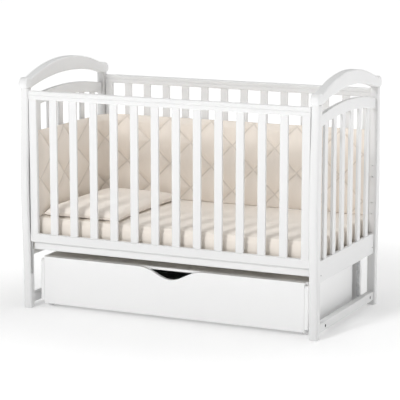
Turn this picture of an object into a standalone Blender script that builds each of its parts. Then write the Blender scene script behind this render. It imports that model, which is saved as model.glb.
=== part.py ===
"""Baby crib with a drop side, a drawer on castors and soft goods.

Units are metres. X runs along the crib, left to right as seen from the front, Y from front to back and Z
up. The origin is on the floor, in the middle of the crib.
"""

import math

import bmesh
import bpy
from mathutils import Matrix, Vector

# Overall sizes of the stand
LENGTH = 1.260
DEPTH = 0.668
POST_WIDTH = 0.035
POST_DEPTH = 0.034
POST_HEIGHT = 0.8825
POST_EDGE = 0.006
BELLY = 0.014
BELLY_FOOT = 0.080
BELLY_TOP_SETBACK = 0.0225
POST_LEVELS = 12
FOOT_CHAMFER = 0.002

# Clearances
FIT = 0.0003
OVERCUT = 0.005
INTO_THE_RAIL = 0.006
SLIDE_GAP = 0.001
PIN_PLAY = 0.0015

# Side panels, front and rear
PANEL_THICKNESS = 0.018
PANEL_INSET = 0.004
TOP_RAIL_HEIGHT = 0.036
TOP_RAIL_DROP = 0.0065
BOTTOM_RAIL_HEIGHT = 0.035
BOTTOM_RAIL_RISE = 0.033
RAIL_EDGE = 0.004
RAIL_GROOVE = 0.0025
STILE_WIDTH = 0.034
SLAT_WIDTH = 0.033
SLAT_THICKNESS = 0.011
SLAT_EDGE = 0.003
SIDE_SLATS = 12
TENON = 0.008

# Drop side travel and guide
DROP_TRAVEL = 0.145
GUIDE_PIN_RADIUS = 0.004
GUIDE_PIN_LENGTH = 0.0105
SLOT_DEPTH = 0.010

# End panels
END_SLATS = 6
END_RAIL_DROP = 0.0275
END_RAIL_HEIGHT = 0.0835
ARCHED_RAIL_DROP = 0.0145
ARCHED_RAIL_HEIGHT = 0.0445
ARCHED_RAIL_RADIUS = 1.650
LEDGE_WIDTH = 0.020
LEDGE_HEIGHT = 0.018
LEDGE_CLEARANCE = 0.008

# Arched caps
CAP_OVERHANG = 0.001
CAP_RISE = 0.0975
CAP_RADIUS = 0.790
CAP_UNDERSIDE_RISE = 0.0392
LOBE_RADIUS = 0.026
LOBE_REACH = 0.011
LOBE_LIFT = 0.018
LOBE_JOIN_ANGLE = 122
CREST_SHORTFALL = 0.62
CAP_EDGE = 0.005

# Foot stretchers
STRETCHER_THICKNESS = 0.026
STRETCHER_HEIGHT = 0.036
STRETCHER_FOOT = 0.0195
STRETCHER_INSET = 0.006
CROSS_NUT_RADIUS = 0.006
CROSS_NUT_LENGTH = 0.020
CROSS_NUT_RECESS = 0.001
FRONT_NUT_SETBACK = 0.071
REAR_NUT_SETBACK = 0.032

# Base-height holes in the posts
HOLE_RADIUS = 0.003
HOLE_DEPTH = 0.008
FIRST_HOLE_RISE = 0.134
HOLE_SPACING = 0.045
HOLE_STEP = 0.150

# Bed base
BASE_FOOT = 0.239
BASE_RAIL_HEIGHT = 0.0325
BASE_RAIL_THICKNESS = 0.018
BASE_END_GAP = 0.006
BASE_RAIL_GAP = 0.002
BASE_RAIL_EDGE = 0.002
SPINE_WIDTH = 0.040
BASE_END_WIDTH = 0.032
BASE_SLATS = 10
BASE_SLAT_WIDTH = 0.070
BASE_SLAT_THICKNESS = 0.008
BASE_SLAT_SEAT = 0.001

# Mattress, bumpers and pillow
MATTRESS_THICKNESS = 0.090
MATTRESS_PLAY = 0.010
MATTRESS_CORNER = 0.030
BUMPER_HEIGHT = 0.344
BUMPER_THICKNESS = 0.036
BUMPER_EDGE = 0.012
SOFT_GAP = 0.001
PILLOW_WIDTH = 0.345
PILLOW_THICKNESS = 0.046
PILLOW_GAP = 0.008
PILLOW_REAR_GAP = 0.022
PILLOW_LEVELS = ((0.0, 0.035), (0.25, 0.006), (0.5, 0.0), (0.75, 0.020), (1.0, 0.070))
PILLOW_CORNER = 0.030

# Drawer
DRAWER_FRONT_SETBACK = 0.048
DRAWER_END_GAP = 0.0235
DRAWER_FRONT_FOOT = 0.016
DRAWER_TOP_GAP = 0.005
DRAWER_BOARD = 0.016
DRAWER_SIDE_THICKNESS = 0.0145
DRAWER_SIDE_FOOT = 0.027
DRAWER_SIDE_CORNER = 0.010
DRAWER_REAR_GAP = 0.024
DRAWER_BOTTOM_THICKNESS = 0.006
LID_THICKNESS = 0.0102
LID_SETBACK = 0.008
GRIP_WIDTH = 0.302
GRIP_DEPTH = 0.0425
GRIP_SHARPNESS = 1.4
GRIP_STEPS = 24

# Drawer castors
WHEEL_RADIUS = 0.020
WHEEL_WIDTH = 0.016
WHEEL_EDGE = 0.0015
AXLE_RADIUS = 0.0025
AXLE_PLAY = 0.0001
CASTOR_CHEEK = 0.002
CASTOR_SIDE_PLAY = 0.0005
CASTOR_TOP_PLAY = 0.002
CASTOR_HALF_DEPTH = 0.012
CASTOR_SETBACK = 0.023
WHEEL_STEPS = 24

# Rear cross board
REAR_BOARD_SETBACK = 0.086
REAR_BOARD_THICKNESS = 0.016
REAR_BOARD_FOOT = 0.030
REAR_BOARD_TOP_GAP = 0.003
REAR_BOARD_EDGE = 0.002
STRIP_WIDTH = 0.013
STRIP_THICKNESS = 0.002
STRIP_HEIGHT = 0.165
STRIP_CORNER = 0.003
STRIP_HOLES = 5
STRIP_HOLE_WIDTH = 0.007
STRIP_HOLE_HEIGHT = 0.022

# Places that follow from the sizes
POST_OUTER_X = LENGTH / 2
POST_INNER_X = POST_OUTER_X - POST_WIDTH
POST_OUTER_Y = DEPTH / 2
POST_INNER_Y = POST_OUTER_Y - POST_DEPTH
POST_CENTRE_X = POST_OUTER_X - POST_WIDTH / 2
BELLY_TOP = POST_HEIGHT - BELLY_TOP_SETBACK
PANEL_OUTER_Y = POST_OUTER_Y - PANEL_INSET
PANEL_INNER_Y = PANEL_OUTER_Y - PANEL_THICKNESS
PANEL_CENTRE_Y = PANEL_OUTER_Y - PANEL_THICKNESS / 2
TOP_RAIL_TOP = POST_HEIGHT - TOP_RAIL_DROP
TOP_RAIL_FOOT = TOP_RAIL_TOP - TOP_RAIL_HEIGHT
BOTTOM_RAIL_FOOT = BASE_FOOT + BOTTOM_RAIL_RISE
BOTTOM_RAIL_TOP = BOTTOM_RAIL_FOOT + BOTTOM_RAIL_HEIGHT
TOP_PIN_HEIGHT = TOP_RAIL_TOP - TOP_RAIL_HEIGHT / 2
BOTTOM_PIN_HEIGHT = BOTTOM_RAIL_FOOT + BOTTOM_RAIL_HEIGHT / 2
END_OUTER_X = POST_CENTRE_X + PANEL_THICKNESS / 2
END_INNER_X = POST_CENTRE_X - PANEL_THICKNESS / 2
END_RAIL_FOOT = BASE_FOOT - END_RAIL_DROP
END_RAIL_TOP = END_RAIL_FOOT + END_RAIL_HEIGHT
ARCHED_RAIL_PEAK = POST_HEIGHT - ARCHED_RAIL_DROP
CAP_PEAK = POST_HEIGHT + CAP_RISE
CAP_THICKNESS = POST_WIDTH + 2 * CAP_OVERHANG
STRETCHER_OUTER_X = POST_OUTER_X - STRETCHER_INSET
STRETCHER_INNER_X = STRETCHER_OUTER_X - STRETCHER_THICKNESS
BASE_TOP = BASE_FOOT + BASE_RAIL_HEIGHT + BASE_SLAT_THICKNESS
BASE_RAIL_OUTER_Y = PANEL_INNER_Y - BASE_RAIL_GAP
MATTRESS_FOOT = BASE_TOP + FIT
MATTRESS_TOP = MATTRESS_FOOT + MATTRESS_THICKNESS
MATTRESS_HALF_WIDTH = PANEL_INNER_Y - MATTRESS_PLAY
BUMPER_REAR_Y = PANEL_INNER_Y - 3 * SOFT_GAP
BUMPER_FRONT_Y = BUMPER_REAR_Y - BUMPER_THICKNESS
REAR_BOARD_FRONT_Y = POST_INNER_Y - REAR_BOARD_SETBACK
REAR_BOARD_TOP = BASE_FOOT - REAR_BOARD_TOP_GAP
DRAWER_FRONT_Y = -POST_OUTER_Y + DRAWER_FRONT_SETBACK
DRAWER_BACK_Y = REAR_BOARD_FRONT_Y - DRAWER_REAR_GAP
DRAWER_OUTER_X = STRETCHER_INNER_X - DRAWER_END_GAP
DRAWER_INNER_X = DRAWER_OUTER_X - DRAWER_SIDE_THICKNESS
DRAWER_FRONT_HALF = DRAWER_INNER_X - FIT
DRAWER_TOP = END_RAIL_FOOT - DRAWER_TOP_GAP
DRAWER_FLOOR_FOOT = 2 * WHEEL_RADIUS + CASTOR_TOP_PLAY + CASTOR_CHEEK + FIT
LID_FOOT = DRAWER_TOP - LID_THICKNESS

WHITE_PAINT = (0.84, 0.85, 0.86)
BARE_WOOD = (0.72, 0.58, 0.40)
CREAM_FABRIC = (0.83, 0.74, 0.62)
MATTRESS_FABRIC = (0.87, 0.81, 0.72)
WHITE_PLASTIC = (0.82, 0.82, 0.82)
STEEL = (0.60, 0.61, 0.63)


def clear_scene():
    """Remove every object that the file opened with."""
    for obj in list(bpy.data.objects):
        bpy.data.objects.remove(obj, do_unlink=True)


def make_material(name, colour, roughness, metallic=0.0):
    """A Principled material of one colour."""
    made = bpy.data.materials.new(name)
    made.use_nodes = True
    shader = made.node_tree.nodes["Principled BSDF"]
    shader.inputs["Base Color"].default_value = (*colour, 1.0)
    shader.inputs["Roughness"].default_value = roughness
    shader.inputs["Metallic"].default_value = metallic
    return made


# Outlines: lists of (u, v) points round a closed shape


def arc(centre, radius, start, end, steps):
    """Points along an arc, both ends included, with angles in degrees."""
    points = []
    for step in range(steps + 1):
        angle = math.radians(start + (end - start) * step / steps)
        points.append((centre[0] + radius * math.cos(angle), centre[1] + radius * math.sin(angle)))
    return points


def circle(centre, radius, steps):
    """Points round a full circle."""
    return arc(centre, radius, 0, 360, steps)[:-1]


def rounded_rectangle(low, high, radius, steps=2):
    """A rectangle whose four corners are arcs."""
    corners = (
        ((high[0] - radius, high[1] - radius), 0),
        ((low[0] + radius, high[1] - radius), 90),
        ((low[0] + radius, low[1] + radius), 180),
        ((high[0] - radius, low[1] + radius), 270),
    )
    points = []
    for centre, start in corners:
        points += arc(centre, radius, start, start + 90, steps)
    return points


def upright_slot(centre_u, half_width, low, high, steps=8):
    """A slot along v with round ends."""
    top = arc((centre_u, high - half_width), half_width, 0, 180, steps)
    foot = arc((centre_u, low + half_width), half_width, 180, 360, steps)
    return top + foot


# Solids: each function adds closed shapes to a bmesh


def point_on(axis, distance, u, v):
    """The point whose place along the axis is distance, and whose other two coordinates are u and v."""
    coordinates = [u, v]
    coordinates.insert(axis, distance)
    return coordinates


def add_loft(shape, rings):
    """Skin a list of rings that hold the same number of points, and close both ends."""
    made = [[shape.verts.new(point) for point in ring] for ring in rings]
    count = len(made[0])
    for lower, upper in zip(made, made[1:]):
        for index in range(count):
            after = (index + 1) % count
            shape.faces.new((lower[index], lower[after], upper[after], upper[index]))
    shape.faces.new(reversed(made[0]))
    shape.faces.new(made[-1])


def add_prism(shape, outline, axis, start, end):
    """Extrude an outline along an axis: 0 for X, 1 for Y, 2 for Z."""
    rings = [[point_on(axis, distance, u, v) for u, v in outline] for distance in (start, end)]
    add_loft(shape, rings)


def add_box(shape, low, high):
    """A box between two corners."""
    outline = ((low[0], low[1]), (high[0], low[1]), (high[0], high[1]), (low[0], high[1]))
    add_prism(shape, outline, 2, low[2], high[2])


def add_wheel(shape, outer, bore, half_width, edge, steps):
    """A wheel about X at the origin, with a bore through it and chamfered rims."""
    profile = (
        (-half_width, bore),
        (-half_width, outer - edge),
        (-half_width + edge, outer),
        (half_width - edge, outer),
        (half_width, outer - edge),
        (half_width, bore),
    )
    rings = []
    for x, radius in profile:
        rings.append([shape.verts.new((x, y, z)) for y, z in circle((0, 0), radius, steps)])
    for ring, following in zip(rings, rings[1:] + rings[:1]):
        for index in range(steps):
            after = (index + 1) % steps
            shape.faces.new((ring[index], ring[after], following[after], following[index]))


def finish(name, shape, material, origin=(0, 0, 0), sharp_angle=35):
    """Turn a bmesh built in world coordinates into an object whose origin is at the given point."""
    bmesh.ops.recalc_face_normals(shape, faces=shape.faces)
    bmesh.ops.translate(shape, verts=shape.verts, vec=-Vector(origin))
    mesh = bpy.data.meshes.new(name)
    shape.to_mesh(mesh)
    shape.free()
    mesh.shade_smooth()
    mesh.set_sharp_from_angle(angle=math.radians(sharp_angle))
    obj = bpy.data.objects.new(name, mesh)
    obj.location = origin
    bpy.context.scene.collection.objects.link(obj)
    if material:
        mesh.materials.append(material)
    return obj


def make_prism(name, outline, axis, start, end, material, origin=(0, 0, 0)):
    """An object from one extruded outline."""
    shape = bmesh.new()
    add_prism(shape, outline, axis, start, end)
    return finish(name, shape, material, origin)


def make_tool(name, shape):
    """A helper solid for a Boolean, which isn't a piece of the crib."""
    tool = finish(name, shape, None)
    tool.hide_render = True
    tool.display_type = "WIRE"
    return tool


def combine(obj, tool, operation):
    """Join a tool to an object, or cut it away."""
    modifier = obj.modifiers.new(tool.name, "BOOLEAN")
    modifier.operation = operation
    modifier.solver = "EXACT"
    modifier.object = tool


def soften(obj, width, segments=2):
    """Round the sharp edges of an object."""
    modifier = obj.modifiers.new("soft_edges", "BEVEL")
    modifier.width = width
    modifier.segments = segments
    modifier.limit_method = "ANGLE"
    modifier.angle_limit = math.radians(50)


def make_parent(name, place):
    """An empty that a moving group hangs on."""
    empty = bpy.data.objects.new(name, None)
    empty.location = place
    empty.empty_display_size = 0.05
    bpy.context.scene.collection.objects.link(empty)
    return empty


def attach(pieces, parent):
    """Parent the pieces to an empty and leave them where they are."""
    for piece in pieces:
        piece.parent = parent
        piece.matrix_parent_inverse = Matrix.Translation(-parent.location)


# The stand


def belly_at(height):
    """How far a post's outer face stands out at a height."""
    if not BELLY_FOOT < height < BELLY_TOP:
        return 0.0
    share = (height - BELLY_FOOT) / (BELLY_TOP - BELLY_FOOT)
    return BELLY * 0.5 * (1 - math.cos(2 * math.pi * share))


def post_ring(side, end, height, shrink=0.0):
    """A post's outline at one height. side is -1 at the front, end is -1 at the left."""
    xs = sorted((end * (POST_INNER_X + shrink), end * (POST_OUTER_X - shrink)))
    ys = sorted((side * (POST_INNER_Y + shrink), side * (POST_OUTER_Y + belly_at(height) - shrink)))
    outline = rounded_rectangle((xs[0], ys[0]), (xs[1], ys[1]), POST_EDGE)
    return [(x, y, height) for x, y in outline]


def add_guide_slot(shape, end):
    """The slot in a front post that the drop side's pins run in."""
    half_width = GUIDE_PIN_RADIUS + PIN_PLAY
    foot = BOTTOM_PIN_HEIGHT - DROP_TRAVEL - half_width
    top = TOP_PIN_HEIGHT + half_width
    outline = upright_slot(-PANEL_CENTRE_Y, half_width, foot, top)
    add_prism(shape, outline, 0, end * (POST_INNER_X - OVERCUT), end * (POST_INNER_X + SLOT_DEPTH))


def add_height_holes(shape, side, end):
    """Two pairs of holes for the higher places of the bed base."""
    for pair in range(2):
        for hole in range(2):
            height = BASE_FOOT + FIRST_HOLE_RISE + pair * HOLE_STEP + hole * HOLE_SPACING
            outline = circle((end * POST_CENTRE_X, height), HOLE_RADIUS, 10)
            start = side * (POST_INNER_Y - OVERCUT)
            add_prism(shape, outline, 1, start, side * (POST_INNER_Y + HOLE_DEPTH))


def make_post(name, side, end, material):
    """One corner post with its belly, its holes and, at the front, its guide slot."""
    rings = [post_ring(side, end, 0.0, FOOT_CHAMFER)]
    for level in range(POST_LEVELS + 1):
        height = FOOT_CHAMFER + (POST_HEIGHT - FOOT_CHAMFER) * level / POST_LEVELS
        rings.append(post_ring(side, end, height))
    shape = bmesh.new()
    add_loft(shape, rings)
    centre = (end * POST_CENTRE_X, side * (POST_OUTER_Y - POST_DEPTH / 2), 0)
    post = finish(name, shape, material, centre)
    cuts = bmesh.new()
    add_height_holes(cuts, side, end)
    if side < 0:
        add_guide_slot(cuts, end)
    combine(post, make_tool(name + "_cuts", cuts), "DIFFERENCE")
    return post


def lobe_outline(side):
    """The round end of a cap, from where it meets the arch down to the post, as (y, z) points."""
    centre = (POST_OUTER_Y + LOBE_REACH - LOBE_RADIUS, POST_HEIGHT + FIT + LOBE_LIFT)
    foot_angle = -math.degrees(math.asin(LOBE_LIFT / LOBE_RADIUS))
    points = arc(centre, LOBE_RADIUS, LOBE_JOIN_ANGLE, foot_angle, 12)
    return [(side * y, z) for y, z in points]


def cap_outline():
    """The arched cap seen from its end."""
    lobe_centre_y = POST_OUTER_Y + LOBE_REACH - LOBE_RADIUS
    crest_reach = lobe_centre_y - LOBE_RADIUS * CREST_SHORTFALL
    crest_half_angle = math.degrees(math.asin(crest_reach / CAP_RADIUS))
    crest = arc((0, CAP_PEAK - CAP_RADIUS), CAP_RADIUS, 90 + crest_half_angle, 90 - crest_half_angle, 24)
    half_span = POST_INNER_Y
    under_radius = (half_span**2 + CAP_UNDERSIDE_RISE**2) / (2 * CAP_UNDERSIDE_RISE)
    under_half_angle = math.degrees(math.asin(half_span / under_radius))
    under_centre = (0, POST_HEIGHT + FIT + CAP_UNDERSIDE_RISE - under_radius)
    underside = arc(under_centre, under_radius, 90 - under_half_angle, 90 + under_half_angle, 20)
    return crest + lobe_outline(1) + underside + lobe_outline(-1)[::-1]


def make_cap(name, end, material):
    """An arched cap, which joins the tops of two posts."""
    start = end * (POST_CENTRE_X - CAP_THICKNESS / 2)
    stop = end * (POST_CENTRE_X + CAP_THICKNESS / 2)
    cap = make_prism(name, cap_outline(), 0, start, stop, material)
    soften(cap, CAP_EDGE)
    return cap


def make_stretcher(name, end, material):
    """A rail near the floor between the two posts of one end, with holes for its cross nuts."""
    outline = rounded_rectangle(
        (min(end * STRETCHER_INNER_X, end * STRETCHER_OUTER_X), STRETCHER_FOOT),
        (max(end * STRETCHER_INNER_X, end * STRETCHER_OUTER_X), STRETCHER_FOOT + STRETCHER_HEIGHT),
        RAIL_EDGE,
    )
    reach = POST_INNER_Y - FIT
    stretcher = make_prism(name, outline, 1, -reach, reach, material)
    holes = bmesh.new()
    for place in nut_places():
        outline = circle((place, STRETCHER_FOOT + STRETCHER_HEIGHT / 2), CROSS_NUT_RADIUS + FIT, 16)
        depth = CROSS_NUT_LENGTH + CROSS_NUT_RECESS + FIT
        start = end * (STRETCHER_OUTER_X + OVERCUT)
        add_prism(holes, outline, 0, start, end * (STRETCHER_OUTER_X - depth))
    combine(stretcher, make_tool(name + "_holes", holes), "DIFFERENCE")
    return stretcher


def nut_places():
    """Y of the front and of the rear cross nut."""
    return (-POST_INNER_Y + FRONT_NUT_SETBACK, POST_INNER_Y - REAR_NUT_SETBACK)


def make_cross_nut(name, end, place, material):
    """A steel barrel nut let into the outer face of a stretcher."""
    outline = circle((place, STRETCHER_FOOT + STRETCHER_HEIGHT / 2), CROSS_NUT_RADIUS, 16)
    start = end * (STRETCHER_OUTER_X - CROSS_NUT_RECESS - CROSS_NUT_LENGTH)
    return make_prism(name, outline, 0, start, end * (STRETCHER_OUTER_X - CROSS_NUT_RECESS), material)


def arched_rail_outline():
    """The arched end rail seen from its end."""
    reach = POST_INNER_Y - FIT
    half_angle = math.degrees(math.asin(reach / ARCHED_RAIL_RADIUS))
    centre_z = ARCHED_RAIL_PEAK - ARCHED_RAIL_RADIUS
    top = arc((0, centre_z), ARCHED_RAIL_RADIUS, 90 - half_angle, 90 + half_angle, 16)
    foot = arc((0, centre_z - ARCHED_RAIL_HEIGHT), ARCHED_RAIL_RADIUS, 90 + half_angle, 90 - half_angle, 16)
    return top + foot


def make_arched_rail(name, end, material):
    """The upper rail of an end panel."""
    rail = make_prism(name, arched_rail_outline(), 0, end * END_INNER_X, end * END_OUTER_X, material)
    soften(rail, RAIL_EDGE)
    return rail


def arched_rail_foot_at(y):
    """Height of the arched rail's underside at a place along it."""
    centre_z = ARCHED_RAIL_PEAK - ARCHED_RAIL_HEIGHT - ARCHED_RAIL_RADIUS
    return centre_z + math.sqrt(ARCHED_RAIL_RADIUS**2 - y**2)


def slat_centres(count, low, high):
    """Centres of slats spaced with equal gaps between two limits."""
    gap = (high - low - count * SLAT_WIDTH) / (count + 1)
    return [low + gap + SLAT_WIDTH / 2 + index * (gap + SLAT_WIDTH) for index in range(count)]


def add_end_slat(shape, end, y):
    """An end slat, let into the lower rail and cut to the slope of the arched rail."""
    x_low, x_high = sorted(end * (POST_CENTRE_X + way * SLAT_THICKNESS / 2) for way in (-1, 1))
    outline = rounded_rectangle((x_low, y - SLAT_WIDTH / 2), (x_high, y + SLAT_WIDTH / 2), SLAT_EDGE)
    foot = [(px, py, END_RAIL_TOP - TENON) for px, py in outline]
    head = [(px, py, arched_rail_foot_at(py) - FIT) for px, py in outline]
    add_loft(shape, [foot, head])


def make_end_panel(name, end, material):
    """The wide lower rail of one end with its slats glued in, and the ledge that the bed base lies on."""
    x_low, x_high = sorted((end * END_INNER_X, end * END_OUTER_X))
    reach = POST_INNER_Y - FIT
    outline = rounded_rectangle((x_low, END_RAIL_FOOT), (x_high, END_RAIL_TOP), RAIL_EDGE)
    panel = make_prism(name, outline, 1, -reach, reach, material)
    slats = bmesh.new()
    for y in slat_centres(END_SLATS, -POST_INNER_Y, POST_INNER_Y):
        add_end_slat(slats, end, y)
    combine(panel, make_tool(name + "_slats", slats), "UNION")
    ledge = bmesh.new()
    x_low, x_high = sorted((end * (END_INNER_X - LEDGE_WIDTH), end * (END_INNER_X + INTO_THE_RAIL)))
    ledge_top = BASE_FOOT - FIT
    ledge_reach = REAR_BOARD_FRONT_Y - LEDGE_CLEARANCE
    add_box(ledge, (x_low, -ledge_reach, ledge_top - LEDGE_HEIGHT), (x_high, ledge_reach, ledge_top))
    combine(panel, make_tool(name + "_ledge", ledge), "UNION")
    return panel


# Front and rear sides


def grooved_rail_outline(side):
    """A top rail seen from its end: a rounded handrail over a lower half, with a groove between them."""
    outer = side * PANEL_OUTER_Y
    inner = side * PANEL_INNER_Y
    y_low, y_high = sorted((outer, inner))
    corners = rounded_rectangle((y_low, TOP_RAIL_FOOT), (y_high, TOP_RAIL_TOP), RAIL_EDGE)
    middle = TOP_RAIL_TOP - TOP_RAIL_HEIGHT / 2
    right = [
        (y_high, middle - RAIL_GROOVE),
        (y_high - RAIL_GROOVE, middle),
        (y_high, middle + RAIL_GROOVE),
    ]
    left = [
        (y_low, middle + RAIL_GROOVE),
        (y_low + RAIL_GROOVE, middle),
        (y_low, middle - RAIL_GROOVE),
    ]
    per_corner = len(corners) // 4
    top, foot = corners[: 2 * per_corner], corners[2 * per_corner :]
    return right + top + left + foot


def plain_rail_outline(side):
    """A bottom rail seen from its end."""
    y_low, y_high = sorted((side * PANEL_OUTER_Y, side * PANEL_INNER_Y))
    return rounded_rectangle((y_low, BOTTOM_RAIL_FOOT), (y_high, BOTTOM_RAIL_TOP), RAIL_EDGE)


def add_side_slat(shape, side, x, foot, head):
    """An upright slat of a front or rear side."""
    y = side * PANEL_CENTRE_Y
    low = (x - SLAT_WIDTH / 2, y - SLAT_THICKNESS / 2)
    high = (x + SLAT_WIDTH / 2, y + SLAT_THICKNESS / 2)
    outline = rounded_rectangle(low, high, SLAT_EDGE)
    add_prism(shape, outline, 2, foot, head)


def add_stile(shape, side, end, outer_x, foot, head):
    """An upright at one end of a front or rear side."""
    x_low, x_high = sorted((end * outer_x, end * (outer_x - STILE_WIDTH)))
    y_low, y_high = sorted((side * PANEL_OUTER_Y, side * PANEL_INNER_Y))
    outline = rounded_rectangle((x_low, y_low), (x_high, y_high), RAIL_EDGE)
    add_prism(shape, outline, 2, foot, head)


def make_rear_panel(material):
    """The fixed rear side, glued up from two rails, two stiles and its slats."""
    reach = POST_INNER_X - FIT
    panel = make_prism("rear_panel", plain_rail_outline(1), 0, -reach, reach, material)
    uprights = bmesh.new()
    foot = BOTTOM_RAIL_TOP - TENON
    head = TOP_RAIL_FOOT + TENON
    for end in (-1, 1):
        add_stile(uprights, 1, end, reach - FIT, foot, head)
    for x in slat_centres(SIDE_SLATS, STILE_WIDTH - reach, reach - STILE_WIDTH):
        add_side_slat(uprights, 1, x, foot, head)
    combine(panel, make_tool("rear_panel_uprights", uprights), "UNION")
    top = bmesh.new()
    add_prism(top, grooved_rail_outline(1), 0, -reach, reach)
    combine(panel, make_tool("rear_panel_top", top), "UNION")
    return panel


def make_drop_rail(name, outline, pin_height, material):
    """A rail of the drop side, with a guide pin at each end."""
    reach = POST_INNER_X - SLIDE_GAP
    rail = make_prism(name, outline, 0, -reach, reach, material)
    pins = bmesh.new()
    for end in (-1, 1):
        pin = circle((-PANEL_CENTRE_Y, pin_height), GUIDE_PIN_RADIUS, 12)
        add_prism(pins, pin, 0, end * (reach - INTO_THE_RAIL), end * (reach + GUIDE_PIN_LENGTH))
    combine(rail, make_tool(name + "_pins", pins), "UNION")
    return rail


def make_drop_side(material):
    """The front side, which slides down in the slots of the front posts."""
    reach = POST_INNER_X - SLIDE_GAP
    foot = BOTTOM_RAIL_TOP + FIT
    head = TOP_RAIL_FOOT - FIT
    pieces = [
        make_drop_rail("drop_side_top_rail", grooved_rail_outline(-1), TOP_PIN_HEIGHT, material),
        make_drop_rail("drop_side_bottom_rail", plain_rail_outline(-1), BOTTOM_PIN_HEIGHT, material),
    ]
    for end, word in ((-1, "left"), (1, "right")):
        shape = bmesh.new()
        add_stile(shape, -1, end, reach, foot, head)
        centre = (end * (reach - STILE_WIDTH / 2), -PANEL_CENTRE_Y, foot)
        pieces.append(finish("drop_side_stile_" + word, shape, material, centre))
    for index, x in enumerate(slat_centres(SIDE_SLATS, STILE_WIDTH - reach, reach - STILE_WIDTH)):
        shape = bmesh.new()
        add_side_slat(shape, -1, x, foot, head)
        centre = (x, -PANEL_CENTRE_Y, foot)
        pieces.append(finish(f"drop_side_slat_{index + 1:02d}", shape, material, centre))
    attach(pieces, make_parent("drop_side_origin", (0, -PANEL_CENTRE_Y, BOTTOM_RAIL_FOOT)))


# Bed base and soft goods


def make_base_rail(name, side, material):
    """A long rail of the bed base."""
    reach = POST_INNER_X - BASE_END_GAP
    inner = BASE_RAIL_OUTER_Y - BASE_RAIL_THICKNESS
    y_low, y_high = sorted((side * BASE_RAIL_OUTER_Y, side * inner))
    outline = rounded_rectangle((y_low, BASE_FOOT), (y_high, BASE_FOOT + BASE_RAIL_HEIGHT), BASE_RAIL_EDGE)
    return make_prism(name, outline, 0, -reach, reach, material)


def make_slatted_base(material):
    """Cross slats and two end boards between the long rails, joined into one grid."""
    inner = BASE_RAIL_OUTER_Y - BASE_RAIL_THICKNESS - FIT
    slat_foot = BASE_FOOT + BASE_RAIL_HEIGHT - BASE_SLAT_SEAT
    slat_top = BASE_TOP
    half_length = END_INNER_X - FIT
    grid = bmesh.new()
    spine_high = (half_length, SPINE_WIDTH / 2, slat_foot)
    add_box(grid, (-half_length, -SPINE_WIDTH / 2, BASE_FOOT), spine_high)
    base = finish("slatted_base", grid, material)
    boards = bmesh.new()
    for end in (-1, 1):
        x_low, x_high = sorted((end * half_length, end * (half_length - BASE_END_WIDTH)))
        add_box(boards, (x_low, -inner, BASE_FOOT), (x_high, inner, slat_top))
    reach = half_length - BASE_END_WIDTH
    spacing = 2 * reach / BASE_SLATS
    for index in range(BASE_SLATS):
        x = -reach + spacing * (index + 0.5)
        low = (x - BASE_SLAT_WIDTH / 2, -inner, slat_foot - BASE_SLAT_SEAT)
        add_box(boards, low, (x + BASE_SLAT_WIDTH / 2, inner, slat_top))
    combine(base, make_tool("slatted_base_boards", boards), "UNION")
    return base


def make_mattress(material):
    """The mattress, a plain block."""
    half_length = END_INNER_X - MATTRESS_PLAY / 2
    low = (-half_length, -MATTRESS_HALF_WIDTH)
    outline = rounded_rectangle(low, (half_length, MATTRESS_HALF_WIDTH), MATTRESS_CORNER, 4)
    return make_prism("mattress", outline, 2, MATTRESS_FOOT, MATTRESS_TOP, material)


def make_bumpers(material):
    """Two upright pads on the mattress: along the rear side and along the left end."""
    foot = MATTRESS_TOP + SOFT_GAP
    top = foot + BUMPER_HEIGHT
    reach = POST_INNER_X - SOFT_GAP
    rear = rounded_rectangle((BUMPER_FRONT_Y, foot), (BUMPER_REAR_Y, top), BUMPER_EDGE)
    make_prism("bumper_rear", rear, 0, -reach, reach, material)
    outer = END_INNER_X - SOFT_GAP * 3
    left = rounded_rectangle((-outer, foot), (BUMPER_THICKNESS - outer, top), BUMPER_EDGE)
    front_end = SOFT_GAP * 3 - POST_INNER_Y
    make_prism("bumper_left", left, 1, front_end, BUMPER_FRONT_Y - SOFT_GAP, material)


def make_pillow(material):
    """A flat pillow across the left end of the mattress, thick in the middle and thin at its rim."""
    foot = MATTRESS_TOP + SOFT_GAP
    left = -END_INNER_X + BUMPER_THICKNESS + PILLOW_GAP
    front = PILLOW_GAP - MATTRESS_HALF_WIDTH
    length = BUMPER_FRONT_Y - PILLOW_REAR_GAP - front
    centre = (left + PILLOW_WIDTH / 2, front + length / 2)
    rings = []
    for share, inset in PILLOW_LEVELS:
        half_width = PILLOW_WIDTH / 2 - inset
        half_length = length / 2 - inset
        low = (centre[0] - half_width, centre[1] - half_length)
        high = (centre[0] + half_width, centre[1] + half_length)
        outline = rounded_rectangle(low, high, PILLOW_CORNER, 3)
        rings.append([(x, y, foot + PILLOW_THICKNESS * share) for x, y in outline])
    shape = bmesh.new()
    add_loft(shape, rings)
    return finish("pillow", shape, material, (*centre, foot))


# The drawer


def drawer_front_outline():
    """The drawer front with the dip of its cut-out grip, as (x, z) points."""
    half_grip = GRIP_WIDTH / 2
    left, right = -DRAWER_FRONT_HALF, DRAWER_FRONT_HALF
    points = [(left, DRAWER_FRONT_FOOT), (right, DRAWER_FRONT_FOOT), (right, DRAWER_TOP)]
    for step in range(GRIP_STEPS + 1):
        x = half_grip - GRIP_WIDTH * step / GRIP_STEPS
        share = (1 + math.cos(math.pi * x / half_grip)) / 2
        points.append((x, DRAWER_TOP - GRIP_DEPTH * share**GRIP_SHARPNESS))
    points.append((left, DRAWER_TOP))
    return points


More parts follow.
